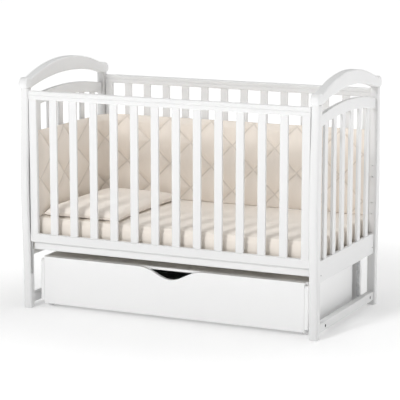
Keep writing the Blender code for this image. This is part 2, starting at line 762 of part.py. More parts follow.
def drawer_side_outline():
    """A drawer side with its top front corner rounded, as (y, z) points."""
    top = LID_FOOT - FIT
    centre = (DRAWER_FRONT_Y + DRAWER_SIDE_CORNER, top - DRAWER_SIDE_CORNER)
    front_foot = (DRAWER_FRONT_Y, DRAWER_SIDE_FOOT)
    back_foot = (DRAWER_BACK_Y, DRAWER_SIDE_FOOT)
    return [front_foot, back_foot, (DRAWER_BACK_Y, top)] + arc(centre, DRAWER_SIDE_CORNER, 90, 180, 5)


def make_castor(name, end, place, wheel_material, bracket_material):
    """A castor: a wheel on an axle in a fixed bracket. Returns the wheel and the bracket."""
    half_inside = WHEEL_WIDTH / 2 + CASTOR_SIDE_PLAY
    half_outside = half_inside + CASTOR_CHEEK
    x = end * (DRAWER_INNER_X - half_outside - 2 * FIT)
    wheel = bmesh.new()
    add_wheel(wheel, WHEEL_RADIUS, AXLE_RADIUS + AXLE_PLAY, WHEEL_WIDTH / 2, WHEEL_EDGE, WHEEL_STEPS)
    bmesh.ops.translate(wheel, verts=wheel.verts, vec=(x, place, WHEEL_RADIUS))
    wheel_object = finish("castor_wheel_" + name, wheel, wheel_material, (x, place, WHEEL_RADIUS))
    top = DRAWER_FLOOR_FOOT - FIT
    ceiling = top - CASTOR_CHEEK
    foot = WHEEL_RADIUS - 2 * AXLE_RADIUS
    outline = [
        (x - half_outside, foot),
        (x - half_inside, foot),
        (x - half_inside, ceiling),
        (x + half_inside, ceiling),
        (x + half_inside, foot),
        (x + half_outside, foot),
        (x + half_outside, top),
        (x - half_outside, top),
    ]
    start = place - CASTOR_HALF_DEPTH
    stop = place + CASTOR_HALF_DEPTH
    bracket = make_prism("castor_bracket_" + name, outline, 1, start, stop, bracket_material)
    axle = bmesh.new()
    into_the_cheek = CASTOR_CHEEK / 2
    reach = half_inside + into_the_cheek
    add_prism(axle, circle((place, WHEEL_RADIUS), AXLE_RADIUS, 12), 0, x - reach, x + reach)
    combine(bracket, make_tool("castor_axle_" + name, axle), "UNION")
    return wheel_object, bracket


def make_drawer_box(material):
    """Front, two sides, back, bottom and loose lid."""
    back_face = DRAWER_BACK_Y
    inside_front = DRAWER_FRONT_Y + DRAWER_BOARD
    pieces = [make_prism("drawer_front", drawer_front_outline(), 1, DRAWER_FRONT_Y, inside_front, material)]
    for end, word in ((-1, "left"), (1, "right")):
        start, stop = end * DRAWER_INNER_X, end * DRAWER_OUTER_X
        pieces.append(make_prism("drawer_side_" + word, drawer_side_outline(), 0, start, stop, material))
    floor_top = DRAWER_FLOOR_FOOT + DRAWER_BOTTOM_THICKNESS
    boards = (
        (
            "drawer_bottom",
            (-DRAWER_FRONT_HALF, inside_front + FIT, DRAWER_FLOOR_FOOT),
            (DRAWER_FRONT_HALF, back_face, floor_top),
        ),
        (
            "drawer_back",
            (-DRAWER_FRONT_HALF, back_face - DRAWER_BOARD, floor_top + FIT),
            (DRAWER_FRONT_HALF, back_face, LID_FOOT - FIT),
        ),
        (
            "drawer_lid",
            (LID_SETBACK - DRAWER_OUTER_X, inside_front + FIT, LID_FOOT),
            (DRAWER_OUTER_X - LID_SETBACK, back_face, DRAWER_TOP),
        ),
    )
    for name, low, high in boards:
        shape = bmesh.new()
        add_box(shape, low, high)
        centre = [(a + b) / 2 for a, b in zip(low, high)]
        pieces.append(finish(name, shape, material, centre))
    return pieces


def make_drawer(paint, plastic, steel):
    """The whole drawer, parented to an empty at the middle of its front."""
    pieces = make_drawer_box(paint)
    for end, end_word in ((-1, "left"), (1, "right")):
        front = DRAWER_FRONT_Y + DRAWER_BOARD + CASTOR_SETBACK
        rear = DRAWER_BACK_Y - CASTOR_SETBACK - CASTOR_HALF_DEPTH
        for place, place_word in ((front, "front"), (rear, "rear")):
            pieces += make_castor(f"{place_word}_{end_word}", end, place, plastic, steel)
    attach(pieces, make_parent("drawer_origin", (0, DRAWER_FRONT_Y, WHEEL_RADIUS)))


# Rear cross board


def make_rear_board(material):
    """A board behind the drawer that ties the two ends of the stand together."""
    reach = STRETCHER_INNER_X - FIT
    rear = REAR_BOARD_FRONT_Y + REAR_BOARD_THICKNESS
    outline = rounded_rectangle((REAR_BOARD_FRONT_Y, REAR_BOARD_FOOT), (rear, REAR_BOARD_TOP), REAR_BOARD_EDGE)
    return make_prism("rear_cross_board", outline, 0, -reach, reach, material)


def make_fixing_strip(name, end, material):
    """A perforated steel strip on the front of the cross board, at one of its ends."""
    face = REAR_BOARD_FRONT_Y - FIT
    outer = STRETCHER_INNER_X - FIT
    x_low, x_high = sorted((end * outer, end * (outer - STRIP_WIDTH)))
    foot = (REAR_BOARD_FOOT + REAR_BOARD_TOP - STRIP_HEIGHT) / 2
    outline = rounded_rectangle((x_low, foot), (x_high, foot + STRIP_HEIGHT), STRIP_CORNER)
    strip = make_prism(name, outline, 1, face - STRIP_THICKNESS, face, material)
    holes = bmesh.new()
    pitch = STRIP_HEIGHT / STRIP_HOLES
    for index in range(STRIP_HOLES):
        middle = foot + pitch * (index + 0.5)
        low = middle - STRIP_HOLE_HEIGHT / 2
        hole = upright_slot((x_low + x_high) / 2, STRIP_HOLE_WIDTH / 2, low, low + STRIP_HOLE_HEIGHT, 4)
        add_prism(holes, hole, 1, face - STRIP_THICKNESS - OVERCUT, face + OVERCUT)
    combine(strip, make_tool(name + "_holes", holes), "DIFFERENCE")
    return strip


def build_crib():
    """Model every piece of the crib."""
    clear_scene()
    paint = make_material("white_paint", WHITE_PAINT, 0.35)
    wood = make_material("bare_wood", BARE_WOOD, 0.6)
    quilt = make_material("quilted_cotton", CREAM_FABRIC, 0.9)
    ticking = make_material("mattress_cotton", MATTRESS_FABRIC, 0.9)
    plastic = make_material("white_plastic", WHITE_PLASTIC, 0.4)
    steel = make_material("steel", STEEL, 0.35, 1.0)
    for end, word in ((-1, "left"), (1, "right")):
        make_post("post_front_" + word, -1, end, paint)
        make_post("post_rear_" + word, 1, end, paint)
        make_cap("arched_cap_" + word, end, paint)
        make_stretcher("foot_stretcher_" + word, end, paint)
        make_arched_rail("arched_rail_" + word, end, paint)
        make_end_panel("end_panel_" + word, end, paint)
        make_fixing_strip("fixing_strip_" + word, end, steel)
        for place, place_word in zip(nut_places(), ("front", "rear")):
            make_cross_nut(f"cross_nut_{place_word}_{word}", end, place, steel)
    make_rear_panel(paint)
    make_drop_side(paint)
    make_base_rail("base_rail_front", -1, paint)
    make_base_rail("base_rail_rear", 1, paint)
    make_slatted_base(wood)
    make_rear_board(paint)
    make_mattress(ticking)
    make_bumpers(quilt)
    make_pillow(ticking)
    make_drawer(paint, plastic, steel)


build_crib()
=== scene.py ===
"""Looks of a white baby crib: painted wood, quilted bumper, mattress, pillow and a drawer on castors.

Units are metres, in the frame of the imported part: X runs along the crib, Y from front to back and Z up.
"""

import math

import bmesh
import bpy
import numpy as np
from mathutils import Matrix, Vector


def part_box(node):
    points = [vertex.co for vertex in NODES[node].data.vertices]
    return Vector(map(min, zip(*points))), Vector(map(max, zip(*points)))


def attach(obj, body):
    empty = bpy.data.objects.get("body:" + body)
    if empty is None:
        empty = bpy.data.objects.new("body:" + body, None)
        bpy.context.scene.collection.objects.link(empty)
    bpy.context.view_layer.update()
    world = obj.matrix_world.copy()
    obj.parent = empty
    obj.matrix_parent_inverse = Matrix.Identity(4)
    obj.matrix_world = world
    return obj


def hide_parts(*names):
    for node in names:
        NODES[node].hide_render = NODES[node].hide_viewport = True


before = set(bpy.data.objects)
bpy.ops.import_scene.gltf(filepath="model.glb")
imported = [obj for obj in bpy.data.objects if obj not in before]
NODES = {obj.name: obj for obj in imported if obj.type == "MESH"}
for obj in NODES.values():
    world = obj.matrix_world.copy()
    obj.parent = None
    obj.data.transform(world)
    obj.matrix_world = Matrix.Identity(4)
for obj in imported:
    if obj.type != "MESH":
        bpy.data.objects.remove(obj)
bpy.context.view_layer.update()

# Camera
CAMERA_PLACE = (2.9665, -6.3442, 1.7169)
CAMERA_AIM = (-0.0053, 0.0, 0.4311)
CAMERA_LENS = 160.8

# Shapes that the CAD boxes don't give
POST_EDGE = 0.0065
POST_OUTER_EDGE = 0.0105
POST_LEVELS = 56
BELLY = 0.014
BELLY_FOOT = 0.080
BELLY_TOP = 0.860
FOOT_CHAMFER = 0.002
HEAD_CHAMFER = 0.0009
GUIDE_HALF_WIDTH = 0.0055
GUIDE_DEPTH = 0.010
GUIDE_FOOT = 0.139
GUIDE_TOP = 0.8635
HOLE_RADIUS = 0.003
HOLE_DEPTH = 0.020
HOLE_HEIGHTS = (0.373, 0.418, 0.523, 0.568)
HOLE_OFFSET = 0.001
CUTTER_SPARE = 0.005
CAP_RADIUS = 0.790
CAP_RIM = 0.006
CAP_UNDERSIDE_RISE = 0.0392
LOBE_RADIUS = 0.026
LOBE_LIFT = 0.018
LOBE_JOIN_ANGLE = 122
CREST_SHORTFALL = 0.62
ARCHED_RAIL_RADIUS = 1.650
ARCHED_RAIL_HEIGHT = 0.0445
ARCHED_RAIL_RIM = 0.0035
RAIL_EDGE = 0.0045
RAIL_CROWN = 0.0065
RAIL_GROOVE = 0.0024
SLAT_EDGE = 0.0028
END_SLATS = 6
SIDE_SLATS = 12
END_RAIL_HEIGHT = 0.0835
PANEL_RIM = 0.0005
RAIL_RIM = 0.0008
TENON = 0.004
HEAD_TENON = 0.003
LEDGE_HEIGHT = 0.018
LEDGE_REACH = 0.008
LEDGE_EDGE = 0.002
REST_GAP = 0.0003
SLAT_WIDTH = 0.033
SLAT_THICKNESS = 0.011
STILE_WIDTH = 0.034
GRIP_WIDTH = 0.302
GRIP_DEPTH = 0.0425
GRIP_SHARPNESS = 1.4
GRIP_STEPS = 72
FRONT_RIM = 0.0014
SIDE_CORNER = 0.010
BOARD_EDGE = 0.0012
LID_EDGE = 0.0015
BASE_RAIL_EDGE = 0.002
PIN_RADIUS = 0.004
PIN_SEAT = 0.006
RAIL_OVERHANG = 0.0002
SIDE_TENON = 0.002


# Outlines

TINY = 1e-12


def arc(centre, radius, start, end, steps):
    """Points along an arc, both ends included, with angles in degrees."""
    angles = np.radians(np.linspace(start, end, steps + 1))
    return [(centre[0] + radius * math.cos(a), centre[1] + radius * math.sin(a)) for a in angles]


def circle(centre, radius, steps):
    """Points round a full circle."""
    return arc(centre, radius, 0, 360, steps)[:-1]


def rounded_rectangle(low, high, radii, steps=5):
    """A rectangle with round corners. radii is one number, or four from the high corner anticlockwise."""
    radii = radii if isinstance(radii, tuple) else (radii,) * 4
    signs = ((1, 1), (-1, 1), (-1, -1), (1, -1))
    points = []
    for turn, ((su, sv), radius) in enumerate(zip(signs, radii)):
        u = (high[0] if su > 0 else low[0]) - su * radius
        v = (high[1] if sv > 0 else low[1]) - sv * radius
        points += arc((u, v), radius, 90 * turn, 90 * turn + 90, steps)
    return points


def inset(outline, distance):
    """The outline moved inwards by a distance."""
    points = np.array(outline, float)
    after = np.roll(points, -1, 0) - points
    area = np.sum(points[:, 0] * np.roll(points[:, 1], -1) - np.roll(points[:, 0], -1) * points[:, 1])
    normal = np.stack([-after[:, 1], after[:, 0]], 1) * np.sign(area)
    normal /= np.maximum(np.linalg.norm(normal, axis=1, keepdims=True), TINY)
    mitre = normal + np.roll(normal, 1, 0)
    mitre /= np.maximum(np.linalg.norm(mitre, axis=1, keepdims=True), TINY)
    stretch = np.maximum(np.sum(mitre * normal, axis=1, keepdims=True), 0.5)
    return [tuple(p) for p in points + mitre * distance / stretch]


# Solids

SHARP_ANGLE = 40


def add_loft(shape, rings, closed=False):
    """Skin rings that hold the same number of points. A closed loft is a loop of rings without ends."""
    made = [[shape.verts.new(point) for point in ring] for ring in rings]
    count = len(made[0])
    pairs = list(zip(made, made[1:]))
    if closed:
        pairs.append((made[-1], made[0]))
    for lower, upper in pairs:
        for index in range(count):
            after = (index + 1) % count
            shape.faces.new((lower[index], lower[after], upper[after], upper[index]))
    if not closed:
        shape.faces.new(reversed(made[0]))
        shape.faces.new(made[-1])
    return made


def place(outline, axis, distance):
    """The outline's points in space, at a distance along an axis: 0 for X, 1 for Y, 2 for Z."""
    points = []
    for u, v in outline:
        point = [u, v]
        point.insert(axis, distance)
        points.append(point)
    return points


def add_prism(shape, outline, axis, start, end, rim=0.0, steps=3):
    """Extrude an outline along an axis, with its two rims rounded."""
    start, end = min(start, end), max(start, end)
    profile = []
    for step in range(steps + 1) if rim else (0,):
        angle = math.pi / 2 * step / steps
        profile.append((rim * (1 - math.sin(angle)), rim * (1 - math.cos(angle))))
    rings = [place(inset(outline, shrink), axis, start + depth) for shrink, depth in profile]
    rings += [place(inset(outline, shrink), axis, end - depth) for shrink, depth in reversed(profile)]
    add_loft(shape, rings)


def add_board(shape, low, high, edge, rim=BOARD_EDGE):
    """A board that fills a box: its long edges are rounded by edge and its ends by rim."""
    low, high = list(low), list(high)
    axis = max(range(3), key=lambda index: high[index] - low[index])
    start, end = low.pop(axis), high.pop(axis)
    add_prism(shape, rounded_rectangle(low, high, edge), axis, start, end, rim)


def to_object(name, shape, sharp_angle=SHARP_ANGLE):
    """An object from a bmesh, smooth but for its sharp edges."""
    bmesh.ops.recalc_face_normals(shape, faces=shape.faces)
    mesh = bpy.data.meshes.new(name)
    shape.to_mesh(mesh)
    shape.free()
    mesh.shade_smooth()
    mesh.set_sharp_from_angle(angle=math.radians(sharp_angle))
    obj = bpy.data.objects.new(name, mesh)
    bpy.context.scene.collection.objects.link(obj)
    return obj


def cut(obj, shape):
    """Take a shape away from an object for good."""
    tool = to_object("cutter", shape)
    modifier = obj.modifiers.new("cut", "BOOLEAN")
    modifier.operation = "DIFFERENCE"
    modifier.solver = "EXACT"
    modifier.object = tool
    graph = bpy.context.evaluated_depsgraph_get()
    mesh = bpy.data.meshes.new_from_object(obj.evaluated_get(graph))
    obj.modifiers.clear()
    obj.data = mesh
    bpy.data.objects.remove(tool)
    mesh.shade_smooth()
    mesh.set_sharp_from_angle(angle=math.radians(SHARP_ANGLE))


def dress(obj, body, material, slot, *replaced):
    """Give a piece its material, the body it moves with and the CAD nodes that it stands for."""
    obj.data.materials.clear()
    obj.data.materials.append(material)
    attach(obj, body)
    if replaced:
        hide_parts(*replaced)
    return obj


def keep_faces_flat(obj):
    """Weight an object's normals so that its broad faces shade as flat."""
    flat = obj.modifiers.new("flat_faces", "WEIGHTED_NORMAL")
    flat.keep_sharp = True


def wood(node, shape, body, material):
    """A painted piece that stands for one CAD node."""
    obj = to_object(node + "_painted", shape)
    keep_faces_flat(obj)
    return dress(obj, body, material, "white_paint", node)


# Materials


def new_material(name):
    """A material, its node tree and its Principled shader."""
    material = bpy.data.materials.new(name)
    material.use_nodes = True
    return material, material.node_tree, material.node_tree.nodes["Principled BSDF"]


def fill(node, values):
    """Set some of a node's sockets."""
    for key, value in values.items():
        node.inputs[key].default_value = value


def add_node(tree, kind, values=None, **settings):
    """A shader node with some of its sockets and settings filled in."""
    made = tree.nodes.new("ShaderNode" + kind)
    for key, value in settings.items():
        setattr(made, key, value)
    fill(made, values or {})
    return made


def link(tree, output, socket):
    """Join an output to an input."""
    tree.links.new(output, socket)


def math_node(tree, operation, first, second=None):
    """A maths node fed by sockets or numbers."""
    made = add_node(tree, "Math", operation=operation)
    for socket, value in zip(made.inputs, (first, second)):
        if isinstance(value, (int, float)):
            socket.default_value = value
        elif value is not None:
            link(tree, value, socket)
    return made.outputs[0]


def stretched_noise(tree, stretch, scale, detail):
    """Noise in object space, drawn out along the axes with a small stretch."""
    coordinates = add_node(tree, "TexCoord")
    mapping = add_node(tree, "Mapping", {"Scale": stretch})
    link(tree, coordinates.outputs["Object"], mapping.inputs["Vector"])
    noise = add_node(tree, "TexNoise", {"Scale": scale, "Detail": detail, "Roughness": 0.6})
    link(tree, mapping.outputs["Vector"], noise.inputs["Vector"])
    return noise.outputs["Fac"]


def colour_between(tree, factor, first, second):
    """A colour that a factor takes from the first, which may be a socket, to the second."""
    mix = add_node(tree, "Mix", data_type="RGBA")
    mix.inputs["B"].default_value = (*second, 1)
    link(tree, factor, mix.inputs["Factor"])
    if isinstance(first, tuple):
        mix.inputs["A"].default_value = (*first, 1)
    else:
        link(tree, first, mix.inputs["A"])
    return mix.outputs["Result"]


def bump(tree, heights, distance, shader):
    """Stack bumps, each a height socket and its strength, on a shader."""
    normal = None
    for height, strength in heights:
        made = add_node(tree, "Bump", {"Strength": strength, "Distance": distance})
        link(tree, height, made.inputs["Height"])
        if normal:
            link(tree, normal, made.inputs["Normal"])
        normal = made.outputs["Normal"]
    link(tree, normal, shader.inputs["Normal"])


def ranged(tree, value, low, high, start=0.0, stop=1.0, **settings):
    """Spread a value over another range. Its own range is 0 to 1 unless start and stop say another."""
    sockets = {"From Min": start, "From Max": stop, "To Min": low, "To Max": high}
    made = add_node(tree, "MapRange", sockets, **settings)
    link(tree, value, made.inputs["Value"])
    return made.outputs["Result"]


PLAIN = (1, 1, 1)
GRAIN_STRETCH = 0.045
WHITE = (0.825, 0.825, 0.823)
WHITE_SHADE = (0.808, 0.808, 0.806)
DRAWER_TINT = 1.13
PINE = (0.86, 0.82, 0.75)
LATE_WOOD = (0.78, 0.72, 0.62)
# Darkest part of steel, plastic and cotton, as a share of its colour
TARNISH = 0.75
HANDLING = 0.93
CLOUDING = 0.955


def shaded(colour, share):
    """A colour made lighter or darker."""
    return tuple(share * v for v in colour)


def paint(name, grain, tint=1.0):
    """Satin white paint over wood whose grain runs along one axis."""
    material, tree, shader = new_material(name)
    stretch = list(PLAIN)
    stretch[grain] = GRAIN_STRETCH
    fibres = stretched_noise(tree, tuple(stretch), 420, 4)
    clouds = stretched_noise(tree, PLAIN, 5, 3)
    peel = stretched_noise(tree, PLAIN, 700, 2)
    light = shaded(WHITE, tint)
    shade = shaded(WHITE_SHADE, tint)
    link(tree, colour_between(tree, clouds, light, shade), shader.inputs["Base Color"])
    link(tree, ranged(tree, clouds, 0.30, 0.42), shader.inputs["Roughness"])
    fill(shader, {"Specular IOR Level": 0.4, "Coat Weight": 0.10, "Coat Roughness": 0.25})
    bump(tree, ((fibres, 0.10), (peel, 0.05)), 0.0004, shader)
    return material


def metal(name, colour, roughness):
    """Zinc-plated steel with fine scratches and a faint mottle."""
    material, tree, shader = new_material(name)
    mottle = stretched_noise(tree, PLAIN, 90, 5)
    scratches = stretched_noise(tree, (1, 1, 0.06), 1500, 3)
    darker = shaded(colour, TARNISH)
    link(tree, colour_between(tree, mottle, colour, darker), shader.inputs["Base Color"])
    link(tree, ranged(tree, mottle, roughness, roughness + 0.2), shader.inputs["Roughness"])
    fill(shader, {"Metallic": 1.0})
    bump(tree, ((scratches, 0.15),), 0.0002, shader)
    return material


def plastic(name, colour, roughness):
    """Moulded plastic with a fine grained skin."""
    material, tree, shader = new_material(name)
    skin = stretched_noise(tree, PLAIN, 1800, 2)
    clouds = stretched_noise(tree, PLAIN, 30, 3)
    darker = shaded(colour, HANDLING)
    link(tree, colour_between(tree, clouds, colour, darker), shader.inputs["Base Color"])
    link(tree, ranged(tree, clouds, roughness, roughness + 0.1), shader.inputs["Roughness"])
    bump(tree, ((skin, 0.12),), 0.0003, shader)
    return material


def bare_wood(name):
    """Planed pine: growth rings drawn out along Y, with darker late wood."""
    material, tree, shader = new_material(name)
    rings = stretched_noise(tree, (1.0, 0.04, 1.0), 55, 3)
    fibres = stretched_noise(tree, (1.0, 0.02, 1.0), 700, 4)
    link(tree, colour_between(tree, rings, PINE, LATE_WOOD), shader.inputs["Base Color"])
    link(tree, ranged(tree, fibres, 0.5, 0.7), shader.inputs["Roughness"])
    bump(tree, ((fibres, 0.3),), 0.0004, shader)
    return material


WEAVE_SHARE = 0.33


def weave(tree, threads):
    """A plain weave: bands along the three axes, so that every face shows two of them crossing."""
    total = None
    for direction in "XYZ":
        band = add_node(tree, "TexWave", {"Scale": threads, "Distortion": 0.6, "Detail": 1.0})
        band.bands_direction = direction
        coordinates = add_node(tree, "TexCoord")
        link(tree, coordinates.outputs["Object"], band.inputs["Vector"])
        value = band.outputs["Fac"]
        total = value if total is None else math_node(tree, "ADD", total, value)
    return math_node(tree, "MULTIPLY", total, WEAVE_SHARE)


# In diamonds: a whole shift that keeps the sums positive, half a thread, and where a groove fades out
CELL_SHIFT = 1000.0
THREAD_HALF = 0.0085
GROOVE_FADE = (0.010, 0.030)
STITCHES = 34.0
STITCH_SHARE = 0.68


def seam_lines(tree):
    """Stitching of the quilting, from the diamond coordinates that the mesh carries: (groove, thread)."""
    first = add_node(tree, "Attribute", attribute_name="quilt_a").outputs["Fac"]
    second = add_node(tree, "Attribute", attribute_name="quilt_b").outputs["Fac"]
    total = math_node(tree, "MULTIPLY", math_node(tree, "ADD", first, second), 0.5)
    difference = math_node(tree, "MULTIPLY", math_node(tree, "SUBTRACT", first, second), 0.5)
    grooves, threads = None, None
    for across, along in ((total, difference), (difference, total)):
        in_cell = math_node(tree, "FRACT", math_node(tree, "ADD", across, CELL_SHIFT + 0.5))
        off = math_node(tree, "ABSOLUTE", math_node(tree, "SUBTRACT", in_cell, 0.5))
        line = math_node(tree, "LESS_THAN", off, THREAD_HALF)
        stitches = math_node(tree, "MULTIPLY", math_node(tree, "ADD", along, CELL_SHIFT), STITCHES)
        dash = math_node(tree, "LESS_THAN", math_node(tree, "FRACT", stitches), STITCH_SHARE)
        thread = math_node(tree, "MULTIPLY", line, dash)
        groove = ranged(tree, off, 1.0, 0.0, *GROOVE_FADE)
        grooves = groove if grooves is None else math_node(tree, "MAXIMUM", grooves, groove)
        threads = thread if threads is None else math_node(tree, "MAXIMUM", threads, thread)
    return grooves, threads


# Painted shade in the quilted creases, as a share of the cloth's colour
CREASE_PAINTED_SHADE = 0.86
THREAD_SHADE = 0.84


def cotton(name, colour, threads=330, quilted=False):
    """Woven cotton, with slubs, a soft sheen and, on a quilt, its stitching and painted shade along the
    quilted creases.
    """
    material, tree, shader = new_material(name)
    cloth = weave(tree, threads)
    slubs = stretched_noise(tree, (1.0, 1.0, 0.12), 260, 3)
    clouds = stretched_noise(tree, PLAIN, 14, 4)
    base = colour_between(tree, clouds, colour, shaded(colour, CLOUDING))
    heights = [(cloth, 0.35), (slubs, 0.12)]
    if quilted:
        groove, thread = seam_lines(tree)
        dip = math_node(tree, "MULTIPLY", groove, -1.0)
        heights += [(dip, 0.35), (thread, 0.5)]
        # Painted shade: the cloth darkens along the quilted creases, where shade falls
        base = colour_between(tree, groove, base, shaded(colour, CREASE_PAINTED_SHADE))
        base = colour_between(tree, thread, base, shaded(colour, THREAD_SHADE))
    link(tree, base, shader.inputs["Base Color"])
    fill(shader, {"Roughness": 0.92, "Specular IOR Level": 0.2})
    fill(shader, {"Sheen Weight": 0.25, "Sheen Roughness": 0.6})
    bump(tree, heights, 0.0003, shader)
    return material


FLOOR_WHITE = (0.93, 0.93, 0.93)
FLOOR_SHADE = (0.92, 0.92, 0.92)
# Painted light: the floor's own glow rises from the first to the second strength over these distances from
# the origin
GLOW_REACH = (0.5, 2.6)
GLOW = (0.20, 0.75)


def floor_material():
    """A pale matte floor with hardly visible mottle that glows as painted light, faintly near the crib and
    more strongly further out, so that it runs out to white far from the crib.
    """
    material, tree, shader = new_material("studio_floor")
    clouds = stretched_noise(tree, PLAIN, 1.5, 3)
    link(tree, colour_between(tree, clouds, FLOOR_WHITE, FLOOR_SHADE), shader.inputs["Base Color"])
    fill(shader, {"Roughness": 0.9, "Specular IOR Level": 0.05, "Emission Color": (1, 1, 1, 1)})
    geometry = add_node(tree, "NewGeometry")
    reach = add_node(tree, "VectorMath", operation="LENGTH")
    link(tree, geometry.outputs["Position"], reach.inputs[0])
    glow = ranged(tree, reach.outputs["Value"], *GLOW, *GLOW_REACH, interpolation_type="SMOOTHSTEP")
    link(tree, glow, shader.inputs["Emission Strength"])
    return material


PAINT = [paint(f"white_paint_grain_{axis}", index) for index, axis in enumerate("xyz")]
PAINT_X, PAINT_Y, PAINT_Z = PAINT
DRAWER_PAINT = []
for index, axis in enumerate("xyz"):
    DRAWER_PAINT.append(paint(f"drawer_paint_grain_{axis}", index, DRAWER_TINT))
BARE_WOOD = bare_wood("bare_wood")
STEEL = metal("zinc_steel", (0.76, 0.77, 0.78), 0.38)
# Near-black steel: on the cross nuts this black is painted shade for the shadow in their holes; the rail
# screws use it too
DARK_STEEL_AND_HOLE_SHADE = metal("dark_steel_and_hole_shade", (0.022, 0.022, 0.024), 0.6)
WHITE_PLASTIC = plastic("white_plastic", (0.80, 0.80, 0.80), 0.42)
CREAM = (0.920, 0.848, 0.768)
QUILT = cotton("quilted_cotton", CREAM, quilted=True)
TICKING = cotton("mattress_cotton", (0.945, 0.878, 0.800))
PILLOW_CLOTH = cotton("pillow_cotton", (0.945, 0.878, 0.805), threads=380)
PIPING_CLOTH = cotton("piping_cotton", (0.860, 0.795, 0.720), threads=420)


# The stand


def belly_at(height):
    """How far a post's outer face stands out at a height."""
    if not BELLY_FOOT < height < BELLY_TOP:
        return 0.0
    share = (height - BELLY_FOOT) / (BELLY_TOP - BELLY_FOOT)
    return BELLY * 0.5 * (1 - math.cos(2 * math.pi * share))


def make_post(node, side):
    """A corner post: bellied outwards, bored for the bed base and, at the front, slotted for the side."""
    low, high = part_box(node)
    inner = low.y if side > 0 else high.y
    depth = high.y - low.y - BELLY
    rings = []
    levels = [(0.0, FOOT_CHAMFER), (FOOT_CHAMFER, 0.0)]
    levels += [(high.z * step / POST_LEVELS, 0.0) for step in range(1, POST_LEVELS)]
    levels += [(high.z - HEAD_CHAMFER, 0.0), (high.z, HEAD_CHAMFER)]
    for height, shrink in levels:
        outer = inner + side * (depth + belly_at(height))
        corners = (low.x, min(inner, outer)), (high.x, max(inner, outer))
        edges = (POST_EDGE, POST_EDGE, POST_OUTER_EDGE, POST_OUTER_EDGE)
        outline = rounded_rectangle(*corners, edges[::-1] if side > 0 else edges)
        rings.append(place(inset(outline, shrink), 2, height))
    shape = bmesh.new()
    add_loft(shape, rings)
    post = wood(node, shape, "stand", PAINT_Z)
    cuts = bmesh.new()
    end = 1 if low.x > 0 else -1
    middle = (low.x + high.x) / 2 - end * HOLE_OFFSET
    for height in HOLE_HEIGHTS:
        start = inner - side * CUTTER_SPARE
        add_prism(cuts, circle((middle, height), HOLE_RADIUS, 20), 1, start, inner + side * HOLE_DEPTH)
    if side < 0:
        face = low.x if end > 0 else high.x
        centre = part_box("drop_side_stile_left")
        y = (centre[0].y + centre[1].y) / 2
        slot = arc((y, GUIDE_TOP - GUIDE_HALF_WIDTH), GUIDE_HALF_WIDTH, 0, 180, 12)
        slot += arc((y, GUIDE_FOOT + GUIDE_HALF_WIDTH), GUIDE_HALF_WIDTH, 180, 360, 12)
        add_prism(cuts, slot, 0, face - end * CUTTER_SPARE, face + end * GUIDE_DEPTH)
    cut(post, cuts)
    keep_faces_flat(post)


def make_cap(node):
    """An arched cap with round ends that overhang the posts."""
    low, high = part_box(node)
    lobe_y = high.y - LOBE_RADIUS
    crest_reach = lobe_y - LOBE_RADIUS * CREST_SHORTFALL
    half = math.degrees(math.asin(crest_reach / CAP_RADIUS))
    crest = arc((0, high.z - CAP_RADIUS), CAP_RADIUS, 90 + half, 90 - half, 60)
    foot_angle = -math.degrees(math.asin(LOBE_LIFT / LOBE_RADIUS))
    lobe = arc((lobe_y, low.z + LOBE_LIFT), LOBE_RADIUS, LOBE_JOIN_ANGLE, foot_angle, 22)
    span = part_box("post_rear_left")[0].y
    radius = (span**2 + CAP_UNDERSIDE_RISE**2) / (2 * CAP_UNDERSIDE_RISE)
    half = math.degrees(math.asin(span / radius))
    under = arc((0, low.z + CAP_UNDERSIDE_RISE - radius), radius, 90 - half, 90 + half, 48)
    outline = crest + lobe + under + [(-y, z) for y, z in reversed(lobe)]
    shape = bmesh.new()
    add_prism(shape, outline, 0, low.x, high.x, CAP_RIM, 6)
    wood(node, shape, "stand", PAINT_Y)


def arched_outline(reach, peak, height):
    """An arched rail seen from its end."""
    half = math.degrees(math.asin(reach / ARCHED_RAIL_RADIUS))
    centre = peak - ARCHED_RAIL_RADIUS
    top = arc((0, centre), ARCHED_RAIL_RADIUS, 90 - half, 90 + half, 48)
    return top + arc((0, centre - height), ARCHED_RAIL_RADIUS, 90 + half, 90 - half, 48)


def make_arched_rail(node):
    """The upper rail of an end."""
    low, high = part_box(node)
    shape = bmesh.new()
    outline = arched_outline(high.y, high.z, ARCHED_RAIL_HEIGHT)
    add_prism(shape, outline, 0, low.x, high.x, ARCHED_RAIL_RIM, 5)
    wood(node, shape, "stand", PAINT_Y)


def even_centres(count, low, high):
    """Centres of slats spaced with equal gaps between two limits."""
    gap = (high - low - count * SLAT_WIDTH) / (count + 1)
    return [low + gap + SLAT_WIDTH / 2 + index * (gap + SLAT_WIDTH) for index in range(count)]


